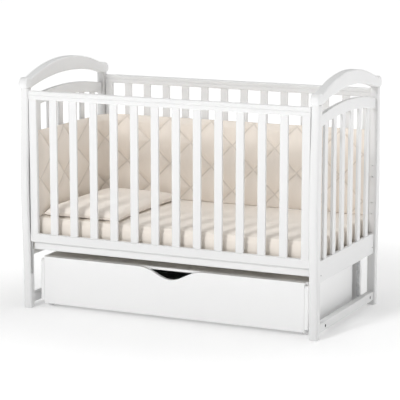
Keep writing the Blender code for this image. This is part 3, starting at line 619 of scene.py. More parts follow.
def make_end_panel(end_word):
    """The wide lower rail of an end, its slats and the ledge under the bed base."""
    node = "end_panel_" + end_word
    low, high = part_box(node)
    end = 1 if end_word == "right" else -1
    arched_low, arched_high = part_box("arched_rail_" + end_word)
    rail_top = low.z + END_RAIL_HEIGHT
    shape = bmesh.new()
    rail = rounded_rectangle((arched_low.x, low.z), (arched_high.x, rail_top), RAIL_EDGE)
    add_prism(shape, rail, 1, low.y, high.y, PANEL_RIM, 1)
    middle = (arched_low.x + arched_high.x) / 2
    centre_z = arched_high.z - ARCHED_RAIL_HEIGHT - ARCHED_RAIL_RADIUS
    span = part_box("post_rear_left")[0].y
    for y in even_centres(END_SLATS, -span, span):
        corner_low = (middle - SLAT_THICKNESS / 2, y - SLAT_WIDTH / 2)
        corner_high = (middle + SLAT_THICKNESS / 2, y + SLAT_WIDTH / 2)
        outline = rounded_rectangle(corner_low, corner_high, SLAT_EDGE, 4)
        foot = place(outline, 2, rail_top - TENON)
        head = []
        for px, py in outline:
            head.append((px, py, centre_z + math.sqrt(ARCHED_RAIL_RADIUS**2 - py**2) + HEAD_TENON))
        add_loft(shape, [foot, head])
    inner = low.x if end > 0 else high.x
    base_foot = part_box("slatted_base")[0].z
    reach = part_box("rear_cross_board")[0].y - LEDGE_REACH
    x_low, x_high = sorted((inner, middle - end * LEDGE_REACH))
    ledge_top = base_foot - REST_GAP
    ledge_low = (x_low, -reach, ledge_top - LEDGE_HEIGHT)
    add_board(shape, ledge_low, (x_high, reach, ledge_top), LEDGE_EDGE)
    wood(node, shape, "stand", PAINT_Z)


def grooved_outline(low, high):
    """A top rail seen from its end: a crowned handrail over a lower half, with a fine groove between."""
    corners = rounded_rectangle(low, high, (RAIL_CROWN, RAIL_CROWN, RAIL_EDGE, RAIL_EDGE))
    middle = (low[1] + high[1]) / 2
    half = len(corners) // 2
    foot, head = middle - RAIL_GROOVE, middle + RAIL_GROOVE
    right = [(high[0], foot), (high[0] - RAIL_GROOVE, middle), (high[0], head)]
    left = [(low[0], head), (low[0] + RAIL_GROOVE, middle), (low[0], foot)]
    return right + corners[:half] + left + corners[half:]


def add_upright(shape, low, high, edge):
    """A slat or a stile."""
    add_prism(shape, rounded_rectangle(low[:2], high[:2], edge, 4), 2, low[2], high[2])


def make_rear_panel():
    """The fixed rear side."""
    node = "rear_panel"
    low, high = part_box(node)
    front_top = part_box("drop_side_top_rail")
    front_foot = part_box("drop_side_bottom_rail")
    shape = bmesh.new()
    top = grooved_outline((low.y, front_top[0].z), (high.y, front_top[1].z))
    add_prism(shape, top, 0, low.x, high.x, RAIL_RIM, 1)
    foot = rounded_rectangle((low.y, low.z), (high.y, front_foot[1].z), RAIL_EDGE)
    add_prism(shape, foot, 0, low.x, high.x, RAIL_RIM, 1)
    z_low, z_high = front_foot[1].z - TENON, front_top[0].z + TENON
    for x_low, x_high in ((low.x, low.x + STILE_WIDTH), (high.x - STILE_WIDTH, high.x)):
        add_upright(shape, (x_low, low.y, z_low), (x_high, high.y, z_high), RAIL_EDGE)
    middle = (low.y + high.y) / 2
    for x in even_centres(SIDE_SLATS, low.x + STILE_WIDTH, high.x - STILE_WIDTH):
        slat_low = (x - SLAT_WIDTH / 2, middle - SLAT_THICKNESS / 2, z_low)
        slat_high = (x + SLAT_WIDTH / 2, middle + SLAT_THICKNESS / 2, z_high)
        add_upright(shape, slat_low, slat_high, SLAT_EDGE)
    wood(node, shape, "stand", PAINT_Z)


def make_drop_side():
    """The front side: two rails with guide pins, two stiles and twelve slats."""
    for word in ("top", "bottom"):
        node = f"drop_side_{word}_rail"
        low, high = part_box(node)
        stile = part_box("drop_side_stile_right")
        reach = stile[1].x + RAIL_OVERHANG
        shape = bmesh.new()
        if word == "top":
            outline = grooved_outline((low.y, low.z), (high.y, high.z))
        else:
            outline = rounded_rectangle((low.y, low.z), (high.y, high.z), RAIL_EDGE)
        add_prism(shape, outline, 0, -reach, reach, BOARD_EDGE, 2)
        centre = ((low.y + high.y) / 2, (low.z + high.z) / 2)
        for end in (-1, 1):
            pin = circle(centre, PIN_RADIUS, 24)
            add_prism(shape, pin, 0, end * (reach - PIN_SEAT), end * high.x, PANEL_RIM, 1)
        wood(node, shape, "drop_side", PAINT_X)
    for node in sorted(n for n in NODES if n.startswith(("drop_side_slat", "drop_side_stile"))):
        low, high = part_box(node)
        shape = bmesh.new()
        edge = RAIL_EDGE if "stile" in node else SLAT_EDGE
        foot, head = low.z - SIDE_TENON, high.z + SIDE_TENON
        add_upright(shape, (low.x, low.y, foot), (high.x, high.y, head), edge)
        wood(node, shape, "drop_side", PAINT_Z)


def make_board(node, body, material, edge=BOARD_EDGE):
    """A plain board with eased edges."""
    low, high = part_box(node)
    shape = bmesh.new()
    add_board(shape, low, high, edge)
    wood(node, shape, body, material)


# Fittings

NUT_FIT = 0.0002
STEEL_RIM = 0.0004
HOLE_FIT = 0.0003
NUT_HOLE_DEPTH = 0.021
SLOT_DEPTH = 0.0022
SLOT_REACH = 0.010
SLOT_HALF_WIDTH = 0.0009
CUT_EDGE = 0.0001
SCREW_PLACES = (-0.2755, 0.2880)
SCREW_RADIUS = 0.0026
SCREW_DEPTH = 0.006
SCREW_LIFT = 0.0002
SOCKET_RADIUS = 0.0012
SOCKET_LOW = 0.0001
SOCKET_HIGH = 0.0004


def make_stretcher(end_word):
    """A foot stretcher with its two cross-nut holes, and the slotted nuts in them, coloured near black as
    painted shade for the shadow in the holes.
    """
    node = "foot_stretcher_" + end_word
    end = 1 if end_word == "right" else -1
    low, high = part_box(node)
    shape = bmesh.new()
    outline = rounded_rectangle((low.x, low.z), (high.x, high.z), RAIL_EDGE)
    add_prism(shape, outline, 1, low.y, high.y, PANEL_RIM, 1)
    stretcher = wood(node, shape, "stand", PAINT_Y)
    holes = bmesh.new()
    for word in ("front", "rear"):
        nut_low, nut_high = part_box(f"cross_nut_{word}_{end_word}")
        centre = ((nut_low.y + nut_high.y) / 2, (nut_low.z + nut_high.z) / 2)
        face = high.x if end > 0 else low.x
        radius = (nut_high.z - nut_low.z) / 2
        hole = circle(centre, radius + HOLE_FIT, 32)
        add_prism(holes, hole, 0, face + end * CUTTER_SPARE, face - end * NUT_HOLE_DEPTH)
        outer = nut_high.x if end > 0 else nut_low.x
        inner = nut_low.x if end > 0 else nut_high.x
        nut = bmesh.new()
        add_prism(nut, circle(centre, radius - NUT_FIT, 32), 0, inner, outer - end * NUT_FIT, STEEL_RIM, 2)
        made = to_object(f"cross_nut_{word}_{end_word}_slotted", nut)
        slot = bmesh.new()
        slot_low = (outer - SLOT_DEPTH, centre[0] - SLOT_REACH, centre[1] - SLOT_HALF_WIDTH)
        slot_high = (outer + SLOT_DEPTH, centre[0] + SLOT_REACH, centre[1] + SLOT_HALF_WIDTH)
        add_board(slot, slot_low, slot_high, CUT_EDGE, 0.0)
        cut(made, slot)
        # The nut's near-black colour is painted shade for the shadow in its hole
        dress(made, "stand", DARK_STEEL_AND_HOLE_SHADE, "steel", f"cross_nut_{word}_{end_word}")
    cut(stretcher, holes)
    keep_faces_flat(stretcher)


def make_rail_screws(end_word):
    """Two sunk screws near the ends of a wide lower rail."""
    end = 1 if end_word == "right" else -1
    low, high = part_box("arched_rail_" + end_word)
    face = high.x if end > 0 else low.x
    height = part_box("slatted_base")[0].z
    shape = bmesh.new()
    for y in SCREW_PLACES:
        head = circle((y, height), SCREW_RADIUS, 20)
        add_prism(shape, head, 0, face - end * SCREW_DEPTH, face + end * SCREW_LIFT, STEEL_RIM, 1)
        socket = circle((y, height), SOCKET_RADIUS, 6)
        add_prism(shape, socket, 0, face + end * SOCKET_LOW, face + end * SOCKET_HIGH)
    screws = to_object("end_rail_screws_" + end_word, shape)
    dress(screws, "stand", DARK_STEEL_AND_HOLE_SHADE, "steel")


# A castor wheel from its side face to its rim: (distance in from the side, radius)
HUB = ((0.0, 0.0026), (0.0, 0.0055), (0.0020, 0.0070), (0.0024, 0.0125), (0.0004, 0.0145), (0.0, 0.0160))
# The same for its tread, with the distance in from the rim instead of the radius
TREAD = ((0.0, 0.0020), (0.0006, 0.0007), (0.0020, 0.0))
BRACKET_SHEET = 0.0018
# Where the bracket's fold ends, in sheet thicknesses
OUTER_FOLD = 1.5
INNER_FOLD = 2.5
AXLE_RADIUS = 0.0025
AXLE_INSET = 0.0005
AXLE_HEAD = 0.0040
AXLE_HEAD_RIM = 0.0003


def make_castor(word):
    """A castor wheel with a dished hub, and its folded steel bracket with the axle ends."""
    low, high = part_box("castor_wheel_" + word)
    centre = (low + high) / 2
    radius = (high.z - low.z) / 2
    half = (high.x - low.x) / 2
    profile = [(depth - half, r) for depth, r in HUB]
    profile += [(depth - half, radius - r) for depth, r in TREAD]
    profile += [(-x, r) for x, r in reversed(profile)]
    shape = bmesh.new()
    rings = []
    for x, r in profile:
        rings.append([(centre.x + x, centre.y + y, centre.z + z) for y, z in circle((0, 0), r, 48)])
    add_loft(shape, rings, closed=True)
    wheel = to_object(f"castor_wheel_{word}_moulded", shape)
    front, side = word.split("_")
    dress(wheel, f"wheel_{front}_{side}", WHITE_PLASTIC, "white_plastic", "castor_wheel_" + word)
    bracket_low, bracket_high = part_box("castor_bracket_" + word)
    sheet = BRACKET_SHEET
    shape = bmesh.new()
    x_low, x_high, top, foot = bracket_low.x, bracket_high.x, bracket_high.z, bracket_low.z
    leg = ((0, foot), (sheet, foot), (sheet, top - INNER_FOLD * sheet), (OUTER_FOLD * sheet, top - sheet))
    crown = ((0, top - OUTER_FOLD * sheet), (sheet, top))
    outline = [(x_low + x, z) for x, z in leg] + [(x_high - x, z) for x, z in reversed(leg)]
    outline += [(x_high - x, z) for x, z in crown] + [(x_low + x, z) for x, z in reversed(crown)]
    add_prism(shape, outline, 1, bracket_low.y, bracket_high.y, STEEL_RIM, 1)
    axle = circle((centre.y, centre.z), AXLE_RADIUS, 20)
    add_prism(shape, axle, 0, x_low + AXLE_INSET, x_high - AXLE_INSET)
    head = circle((centre.y, centre.z), AXLE_HEAD, 20)
    for x in (x_low, x_high):
        add_prism(shape, head, 0, x - STEEL_RIM, x + STEEL_RIM, AXLE_HEAD_RIM, 2)
    bracket = to_object(f"castor_bracket_{word}_folded", shape)
    dress(bracket, "drawer", STEEL, "steel", "castor_bracket_" + word)


# The drawer


def make_drawer():
    """Front with its cut-out grip, sides, back, bottom and loose lid."""
    low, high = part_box("drawer_front")
    half_grip = GRIP_WIDTH / 2
    outline = [(low.x, low.z), (high.x, low.z), (high.x, high.z)]
    for step in range(GRIP_STEPS + 1):
        x = half_grip - GRIP_WIDTH * step / GRIP_STEPS
        share = (1 + math.cos(math.pi * x / half_grip)) / 2
        outline.append((x, high.z - GRIP_DEPTH * share**GRIP_SHARPNESS))
    outline.append((low.x, high.z))
    shape = bmesh.new()
    add_prism(shape, outline, 1, low.y, high.y, FRONT_RIM, 3)
    wood("drawer_front", shape, "drawer", DRAWER_PAINT[0])
    for word in ("left", "right"):
        low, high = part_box("drawer_side_" + word)
        outline = [(low.y, low.z), (high.y, low.z), (high.y, high.z)]
        outline += arc((low.y + SIDE_CORNER, high.z - SIDE_CORNER), SIDE_CORNER, 90, 180, 8)
        shape = bmesh.new()
        add_prism(shape, outline, 0, low.x, high.x, BOARD_EDGE)
        wood("drawer_side_" + word, shape, "drawer", DRAWER_PAINT[1])
    make_board("drawer_back", "drawer", DRAWER_PAINT[0])
    make_board("drawer_bottom", "drawer", DRAWER_PAINT[0])
    make_board("drawer_lid", "drawer", DRAWER_PAINT[0], LID_EDGE)


# Soft goods


def coordinates(mesh):
    """Vertex places as an array."""
    found = np.empty(len(mesh.vertices) * 3, np.float32)
    mesh.vertices.foreach_get("co", found)
    return found.reshape(-1, 3).astype(float)


def put(mesh, places):
    """Set the vertex places from an array."""
    mesh.vertices.foreach_set("co", places.astype(np.float32).ravel())
    mesh.update()


CLOTH_QUALITY = 6
CLOTH_MASS = 0.3
BENDING = 0.4
STIFF = 15.0


def inflate(obj, pressure, frames, limit, pinned=(), stiffness=STIFF):
    """Blow a closed mesh up as cloth, and keep the result. No point moves further than the limit."""
    before = coordinates(obj.data)
    cloth = obj.modifiers.new("cloth", "CLOTH")
    settings = cloth.settings
    settings.quality = CLOTH_QUALITY
    settings.mass = CLOTH_MASS
    settings.tension_stiffness = stiffness
    settings.compression_stiffness = stiffness
    settings.shear_stiffness = stiffness / 2
    settings.bending_stiffness = BENDING
    settings.use_pressure = True
    settings.uniform_pressure_force = pressure
    settings.effector_weights.gravity = 0
    if len(pinned):
        group = obj.vertex_groups.new(name="pinned")
        group.add([int(index) for index in pinned], 1.0, "REPLACE")
        settings.vertex_group_mass = "pinned"
    cloth.point_cache.frame_start = 1
    cloth.point_cache.frame_end = frames
    scene = bpy.context.scene
    for number in range(1, frames + 1):
        scene.frame_set(number)
    graph = bpy.context.evaluated_depsgraph_get()
    evaluated = obj.evaluated_get(graph)
    mesh = evaluated.to_mesh()
    moved = coordinates(mesh) - before
    evaluated.to_mesh_clear()
    obj.modifiers.remove(cloth)
    length = np.linalg.norm(moved, axis=1, keepdims=True)
    moved *= np.minimum(1.0, limit / np.maximum(length, TINY))
    put(obj.data, before + moved)
    scene.frame_set(1)


WAVES = 6
WAVE_SPREAD = (0.6, 0.25)
WAVE_GAIN = 1.6


def wavy(places, size, seed):
    """A smooth mix of sine waves over space, between about -1 and 1."""
    random = np.random.default_rng(seed)
    total = np.zeros(len(places))
    for octave in range(WAVES):
        direction = random.normal(size=3)
        length = size * (WAVE_SPREAD[0] + WAVE_SPREAD[1] * octave)
        direction *= 2 * math.pi / length / np.linalg.norm(direction)
        total += np.sin(places @ direction + random.uniform(0, 2 * math.pi)) / WAVES
    return total * WAVE_GAIN


def soften(obj):
    """Subdivide a piece once."""
    fine = obj.modifiers.new("fine", "SUBSURF")
    fine.levels = fine.render_levels = 1


MATTRESS_CELL = 0.0085
MATTRESS_SPARE = 0.0022
MATTRESS_FRONT_INSET = 0.006
MATTRESS_EDGE = 0.008
MATTRESS_PRESSURE = 1.5
MATTRESS_SWELL = 0.0018
MATTRESS_CROWN = 0.0022
MATTRESS_TOP_LIMIT = 0.0032
MATTRESS_SIDE_LIMIT = 0.0005
MATTRESS_FOOT_GAP = 0.0001
TOP_RIPPLE = (0.0008, 0.16, 3)
SIDE_RIPPLE = (0.0007, 0.12, 5)
SIDE_DEPTH = 0.02


def make_mattress():
    """A foam mattress in a cotton cover: crowned faces and soft edges."""
    low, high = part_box("mattress")
    spare = MATTRESS_SPARE
    shape = bmesh.new()
    front_corner = low + Vector((spare, spare + MATTRESS_FRONT_INSET, spare))
    add_board(shape, front_corner, high - Vector((spare,) * 3), MATTRESS_EDGE, MATTRESS_EDGE)
    mattress = to_object("mattress_cover", shape)
    remesh = mattress.modifiers.new("remesh", "REMESH")
    remesh.mode = "VOXEL"
    remesh.voxel_size = MATTRESS_CELL
    graph = bpy.context.evaluated_depsgraph_get()
    mattress.data = bpy.data.meshes.new_from_object(mattress.evaluated_get(graph))
    mattress.modifiers.clear()
    inflate(mattress, MATTRESS_PRESSURE, 12, MATTRESS_SWELL)
    places = coordinates(mattress.data)
    middle = np.array((low + high) / 2)
    size = np.array(high - low) / 2
    share = np.clip(np.abs((places - middle) / size), 0, 1)
    crown = (1 - share[:, 0] ** 4) * (1 - share[:, 1] ** 4)
    top = places[:, 2] > middle[2]
    depth, length, seed = TOP_RIPPLE
    places[top, 2] += MATTRESS_CROWN * crown[top] + depth * wavy(places, length, seed)[top] * crown[top]
    side = np.abs(places[:, 1] - middle[1]) > size[1] - SIDE_DEPTH
    depth, length, seed = SIDE_RIPPLE
    places[side, 1] += depth * wavy(places, length, seed)[side]
    limit = np.array(high) + (MATTRESS_SIDE_LIMIT, MATTRESS_SIDE_LIMIT, MATTRESS_TOP_LIMIT)
    places = np.minimum(np.maximum(places, np.array(low) + MATTRESS_FOOT_GAP), limit)
    put(mattress.data, places)
    mattress.data.shade_smooth()
    soften(mattress)
    dress(mattress, "stand", TICKING, "mattress_cotton", "mattress")
    return float(places[:, 2].max())


# Quilting lattice: diamonds are two steps wide and two steps high, in lattice units
STEP_X = 0.095
STEP_Z = 0.0945
ROW_HEIGHT = 0.6115
CELLS = 12
BUMPER_CORNER = 0.072
BUMPER_FRONT_GAP = 0.004
BUMPER_END_GAP = 0.002
BUMPER_FOOT_GAP = 0.0008
BUMPER_TOP_GAP = 0.001
BUMPER_SINK = 0.0035
SEAM_HALF = 0.0030
PUFF = 0.0165
PUFF_POWER = 0.38
BUMPER_RIM = (0.3, 0.7, 3)
BUMPER_SPARE = 0.0005
BUMPER_LIFT = 0.0006
BUMPER_CLOTH = (6.0, 14, 0.004)
BUMPER_STIFFNESS = 8.0
WELL_INSIDE = 0.3
# Where the seams' crossings lie: (Y on the left end or X on the rear side, lattice column)
KNOTS_LEFT = ((-0.366, -2.0), (-0.176, 0.0), (0.014, 2.0))
KNOTS_REAR = ((-0.3725, 6.0), (-0.1825, 8.0))
CORNER_KNOT = (0.36, 4.0)
LAST_COLUMNS = 20


def bumper_path(radius, left_x, rear_y, front_end, right_end):
    """The pad's line in plan: (length, point and outward normal at a length)."""
    straight = rear_y - radius - front_end
    bend = math.pi / 2 * radius
    total = straight + bend + right_end - (left_x + radius)

    def at(distance):
        if distance < straight:
            return Vector((left_x, front_end + distance)), Vector((1, 0))
        if distance < straight + bend:
            angle = (distance - straight) / radius
            centre = Vector((left_x + radius, rear_y - radius))
            way = Vector((-math.cos(angle), math.sin(angle)))
            return centre + radius * way, -way
        return Vector((left_x + radius + distance - straight - bend, rear_y)), Vector((0, -1))

    return total, straight, bend, at


def steps_between(first, last):
    """Grid lines, counted in cells: the two ends and every whole cell that is well inside them."""
    first, last = float(first) * CELLS, float(last) * CELLS
    inside = range(math.ceil(first + WELL_INSIDE), math.floor(last - WELL_INSIDE) + 1)
    return [first, *inside, last]


def on_seam(column, row):
    """Whether a grid point lies on a line of the quilting."""
    return (column + row) % (2 * CELLS) == 0 or (column - row) % (2 * CELLS) == 0


def make_bumper(foot):
    """One pad quilted in diamonds, along the left end, round the corner and along the rear side."""
    left_low, left_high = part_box("bumper_left")
    rear_low, rear_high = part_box("bumper_rear")
    left_x = (left_low.x + left_high.x) / 2
    rear_y = (rear_low.y + rear_high.y) / 2
    front_end = left_low.y + BUMPER_FRONT_GAP
    right_end = rear_high.x - BUMPER_END_GAP
    total, straight, bend, at = bumper_path(BUMPER_CORNER, left_x, rear_y, front_end, right_end)
    rear_start = left_x + BUMPER_CORNER
    knots = [(y - left_low.y - BUMPER_FRONT_GAP, a) for y, a in KNOTS_LEFT]
    knots += [(straight + bend * CORNER_KNOT[0], CORNER_KNOT[1])]
    knots += [(straight + bend + x - rear_start, a) for x, a in KNOTS_REAR]
    last = knots[-1]
    knots.append((last[0] + LAST_COLUMNS * STEP_X, last[1] + LAST_COLUMNS))
    lengths, values = zip(*knots)
    columns = steps_between(np.interp(0.0, lengths, values), np.interp(total, lengths, values))
    lowest = foot + BUMPER_FOOT_GAP - ROW_HEIGHT
    highest = left_high.z - BUMPER_TOP_GAP - ROW_HEIGHT
    rows = steps_between(lowest / STEP_Z, highest / STEP_Z)
    rim_start, rim_rise, rim_cells = BUMPER_RIM
    shape = bmesh.new()
    layer_a = shape.verts.layers.float.new("quilt_a")
    layer_b = shape.verts.layers.float.new("quilt_b")
    grid = {}
    for face in (1, -1):
        for column in columns:
            distance = float(np.interp(column / CELLS, values, lengths))
            point, normal = at(distance)
            for row in rows:
                rim = min(column - columns[0], columns[-1] - column, rows[-1] - row)
                a, b = column / CELLS, row / CELLS
                waves = math.sin(math.pi * (a + b) / 2) * math.sin(math.pi * (a - b) / 2)
                half = SEAM_HALF + PUFF * abs(waves) ** PUFF_POWER
                half *= min(1.0, rim_start + rim_rise * rim / rim_cells)
                place_in_plan = point + face * half * normal
                vert = shape.verts.new((*place_in_plan, ROW_HEIGHT + STEP_Z * row / CELLS))
                vert[layer_a] = a
                vert[layer_b] = b
                grid[face, column, row] = vert
    for face in (1, -1):
        for column, next_column in zip(columns, columns[1:]):
            for row, next_row in zip(rows, rows[1:]):
                corners = [
                    grid[face, column, row],
                    grid[face, next_column, row],
                    grid[face, next_column, next_row],
                    grid[face, column, next_row],
                ]
                rising = (column - row) % (2 * CELLS) == 0
                falling = (column + next_row) % (2 * CELLS) == 0
                if rising:
                    shape.faces.new((corners[0], corners[1], corners[2]))
                    shape.faces.new((corners[0], corners[2], corners[3]))
                elif falling:
                    shape.faces.new((corners[0], corners[1], corners[3]))
                    shape.faces.new((corners[1], corners[2], corners[3]))
                else:
                    shape.faces.new(corners)
    border = [(column, rows[0]) for column in columns] + [(columns[-1], row) for row in rows[1:]]
    border += [(column, rows[-1]) for column in reversed(columns[:-1])]
    border += [(columns[0], row) for row in reversed(rows[1:-1])]
    for here, there in zip(border, border[1:] + border[:1]):
        shape.faces.new((grid[(1, *here)], grid[(1, *there)], grid[(-1, *there)], grid[(-1, *here)]))
    shape.verts.index_update()
    held = []
    for (face, column, row), vert in grid.items():
        rim = column in (columns[0], columns[-1]) or row in (rows[0], rows[-1])
        if rim or on_seam(column, row):
            held.append(vert.index)
    bumper = to_object("quilted_bumper", shape, 180)
    bumper.data.shade_smooth()
    inflate(bumper, *BUMPER_CLOTH, held, BUMPER_STIFFNESS)
    places = coordinates(bumper.data)
    places[:, 0] = np.maximum(places[:, 0], left_low.x + BUMPER_SPARE)
    places[:, 1] = np.minimum(places[:, 1], rear_high.y - BUMPER_SPARE)
    places[:, 2] = np.maximum(places[:, 2], foot + BUMPER_LIFT)
    put(bumper.data, places)
    soften(bumper)
    dress(bumper, "stand", QUILT, "quilted_cotton", "bumper_left", "bumper_rear")


PILLOW_CELL = 0.0085
PILLOW_SEAM_LIFT = 0.0105
PILLOW_CROWN = 0.026
PILLOW_POWER = 0.30
PILLOW_PULL = 0.010
PILLOW_CLOTH_RUN = (2.0, 14, 0.006)
PILLOW_SPARE = 0.006
PILLOW_THICKNESS = 0.052
MOST_STRETCH = (1.1, 1.1, 3.0)
UPPER_STRETCH = 1.55
PILLOW_RIPPLE = (0.0016, 0.14, 11)
PILLOW_GAP = 0.0008
PILLOW_SOLE = 0.0004
PILLOW_TOP_LIMIT = 0.016
PIPING_RADIUS = 0.0021


def make_pillow(foot):
    """A flat pillow on the mattress: two cloths sewn together and blown up, with piping in the seam."""
    low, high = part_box("pillow")
    size = Vector((high.x - low.x, high.y - low.y))
    columns = round(size.x / PILLOW_CELL)
    rows = round(size.y / PILLOW_CELL)
    shape = bmesh.new()
    grid = {}
    for face in (1, -1):
        for i in range(columns + 1):
            for j in range(rows + 1):
                rim = i in (0, columns) or j in (0, rows)
                if rim and face < 0:
                    grid[face, i, j] = grid[1, i, j]
                    continue
                u, v = 2 * i / columns - 1, 2 * j / rows - 1
                pull_x = PILLOW_PULL * (1 - v * v) * u**3
                pull_y = PILLOW_PULL * (1 - u * u) * v**3
                swell = PILLOW_CROWN * ((1 - u**2) * (1 - v**2)) ** PILLOW_POWER
                height = 0.0 if rim else face * swell
                x = low.x + size.x * i / columns - pull_x
                y = low.y + size.y * j / rows - pull_y
                grid[face, i, j] = shape.verts.new((x, y, height))
    for face in (1, -1):
        for i in range(columns):
            for j in range(rows):
                around = ((i, j), (i + 1, j), (i + 1, j + 1), (i, j + 1))
                corners = [grid[(face, *corner)] for corner in around]
                shape.faces.new(corners if face > 0 else corners[::-1])
    shape.verts.index_update()
    loop = [(i, 0) for i in range(columns)] + [(columns, j) for j in range(rows)]
    loop += [(i, rows) for i in range(columns, 0, -1)] + [(0, j) for j in range(rows, 0, -1)]
    rim_indices = [grid[1, i, j].index for i, j in loop]
    pillow = to_object("pillow_case", shape, 180)
    pillow.data.shade_smooth()
    inflate(pillow, *PILLOW_CLOTH_RUN)
    places = coordinates(pillow.data)
    centre = (places.max(0) + places.min(0)) / 2
    extent = places.max(0) - places.min(0)
    wanted = np.array((size.x - PILLOW_SPARE, size.y - PILLOW_SPARE, PILLOW_THICKNESS))
    places = (places - centre) * np.minimum(wanted / extent, MOST_STRETCH)
    seam = foot + PILLOW_SEAM_LIFT
    places += ((low.x + high.x) / 2, (low.y + high.y) / 2, seam)
    upper = places[:, 2] > seam
    places[upper, 2] = seam + (places[upper, 2] - seam) * UPPER_STRETCH
    ripple, length, seed = PILLOW_RIPPLE
    places[:, 2] += ripple * wavy(places, length, seed)
    under = foot + PILLOW_GAP
    depth = np.maximum(places[:, 2] - under, 0)
    places[:, 2] = under + np.sqrt(depth**2 + PILLOW_SOLE**2)
    places[:, 2] = np.minimum(places[:, 2], high.z + PILLOW_TOP_LIMIT)
    put(pillow.data, places)
    soften(pillow)
    dress(pillow, "stand", PILLOW_CLOTH, "mattress_cotton", "pillow")
    add_piping("pillow_piping", places[rim_indices], PIPING_RADIUS, PIPING_CLOTH, under)


def add_piping(name, points, radius, material, lowest, sides=8):
    """A cord sewn into a seam, round a closed line."""
    for _ in range(2):
        points = (np.roll(points, 1, 0) + 2 * points + np.roll(points, -1, 0)) / 4
    points[:, 2] = np.maximum(points[:, 2], lowest + radius)
    along = np.roll(points, -1, 0) - np.roll(points, 1, 0)
    along /= np.linalg.norm(along, axis=1, keepdims=True)
    upward = np.array((0.0, 0.0, 1.0)) - along * along[:, 2:3]
    upward /= np.linalg.norm(upward, axis=1, keepdims=True)
    outward = np.cross(along, upward)
    rings = []
    for point, side, up in zip(points, outward, upward):
        ring = []
        for step in range(sides):
            angle = 2 * math.pi * step / sides
            ring.append(point + radius * (math.cos(angle) * side + math.sin(angle) * up))
        rings.append(ring)
    shape = bmesh.new()
    add_loft(shape, rings, closed=True)
    piping = to_object(name, shape, 180)
    dress(piping, "stand", material, "mattress_cotton")


# Studio

# Area lights: name, place, size and power
LIGHTS = (
    ("key", (-0.922, -6.558, 3.921), 1.2, 215),
    ("top", (0, 0, 6.5), 5.0, 150),
    ("right", (7.0, -1.5, 1.6), 2.5, 25),
)
LIT_POINT = (0, 0, 0.4)
FLOOR_REACH = 40.0
FLOOR_DROP = 0.0004
SENSOR_WIDTH = 36

# Brightness of the white surroundings on each side
FRONT_LEFT = 0.36
FRONT_RIGHT = 0.05
REAR_LEFT = 0.48
REAR_RIGHT = 1.30
SIDE_BLEND = 0.15
SKY_FADE = (0.75, 0.65)


def look_at(obj, target):
    """Turn an object's -Z towards a point."""
    obj.rotation_euler = (Vector(target) - obj.location).to_track_quat("-Z", "Y").to_euler()


def add_area(name, place_at, size, power):
    """A square soft light that faces the crib."""
    data = bpy.data.lights.new(name, "AREA")
    data.size = size
    data.energy = power
    light = bpy.data.objects.new(name, data)
    light.location = place_at
    bpy.context.scene.collection.objects.link(light)
    look_at(light, LIT_POINT)


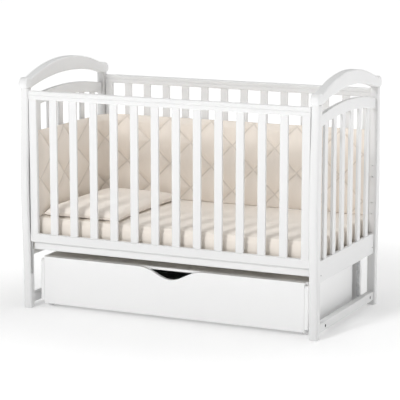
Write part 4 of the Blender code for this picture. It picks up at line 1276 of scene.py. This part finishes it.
def surroundings(scene):
    """Soft white surroundings, brighter on some sides, and plain white where the camera sees them."""
    world = bpy.data.worlds.new("studio")
    scene.world = world
    world.use_nodes = True
    tree = world.node_tree
    tree.nodes.clear()
    output = tree.nodes.new("ShaderNodeOutputWorld")
    place_node = add_node(tree, "TexCoord")
    parts = add_node(tree, "SeparateXYZ")
    link(tree, place_node.outputs["Generated"], parts.inputs[0])
    rightness = ranged(tree, parts.outputs["X"], 0.0, 1.0, -SIDE_BLEND, SIDE_BLEND)
    rearness = ranged(tree, parts.outputs["Y"], 0.0, 1.0, -SIDE_BLEND, SIDE_BLEND)
    side = add_node(tree, "MapRange")
    link(tree, rearness, side.inputs["Value"])
    link(tree, ranged(tree, rightness, FRONT_LEFT, FRONT_RIGHT), side.inputs["To Min"])
    link(tree, ranged(tree, rightness, REAR_LEFT, REAR_RIGHT), side.inputs["To Max"])
    low_sky = ranged(tree, parts.outputs["Z"], 0.0, 1.0, *SKY_FADE)
    strength = math_node(tree, "MULTIPLY", side.outputs[0], low_sky)
    ambient = add_node(tree, "Background", {"Color": (1, 1, 1, 1)})
    link(tree, strength, ambient.inputs["Strength"])
    backdrop = add_node(tree, "Background", {"Color": (1, 1, 1, 1), "Strength": 1.0})
    path = add_node(tree, "LightPath")
    mix = add_node(tree, "MixShader")
    link(tree, path.outputs["Is Camera Ray"], mix.inputs[0])
    link(tree, ambient.outputs[0], mix.inputs[1])
    link(tree, backdrop.outputs[0], mix.inputs[2])
    link(tree, mix.outputs[0], output.inputs["Surface"])


def make_studio():
    """Pale floor, white surroundings, soft lights and the camera."""
    scene = bpy.context.scene
    shape = bmesh.new()
    corners = ((-1, -1), (1, -1), (1, 1), (-1, 1))
    shape.faces.new([shape.verts.new((x * FLOOR_REACH, y * FLOOR_REACH, 0)) for x, y in corners])
    floor = to_object("studio_floor", shape)
    floor.location.z = -FLOOR_DROP
    floor.data.materials.append(floor_material())
    surroundings(scene)
    for light in LIGHTS:
        add_area(*light)
    camera_data = bpy.data.cameras.new("camera")
    camera_data.lens = CAMERA_LENS
    camera_data.sensor_width = SENSOR_WIDTH
    camera = bpy.data.objects.new("camera", camera_data)
    camera.location = CAMERA_PLACE
    scene.collection.objects.link(camera)
    look_at(camera, CAMERA_AIM)
    scene.camera = camera
    scene.view_settings.view_transform = "Standard"


def build():
    """Every piece of the crib, then the studio."""
    for word in ("left", "right"):
        make_post("post_front_" + word, -1)
        make_post("post_rear_" + word, 1)
        make_cap("arched_cap_" + word)
        make_arched_rail("arched_rail_" + word)
        make_end_panel(word)
        make_stretcher(word)
        make_rail_screws(word)
        dress_node("fixing_strip_" + word, STEEL)
        for place_word in ("front", "rear"):
            make_castor(f"{place_word}_{word}")
    make_rear_panel()
    make_drop_side()
    make_board("base_rail_front", "stand", PAINT_X, BASE_RAIL_EDGE)
    make_board("base_rail_rear", "stand", PAINT_X, BASE_RAIL_EDGE)
    make_board("rear_cross_board", "stand", PAINT_X, LID_EDGE)
    dress_node("slatted_base", BARE_WOOD)
    make_drawer()
    top = make_mattress()
    make_bumper(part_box("mattress")[1].z - BUMPER_SINK)
    make_pillow(top)
    make_studio()


def dress_node(node, material):
    """Give a CAD node that stays in view its material."""
    obj = NODES[node]
    obj.data.materials.clear()
    obj.data.materials.append(material)


build()
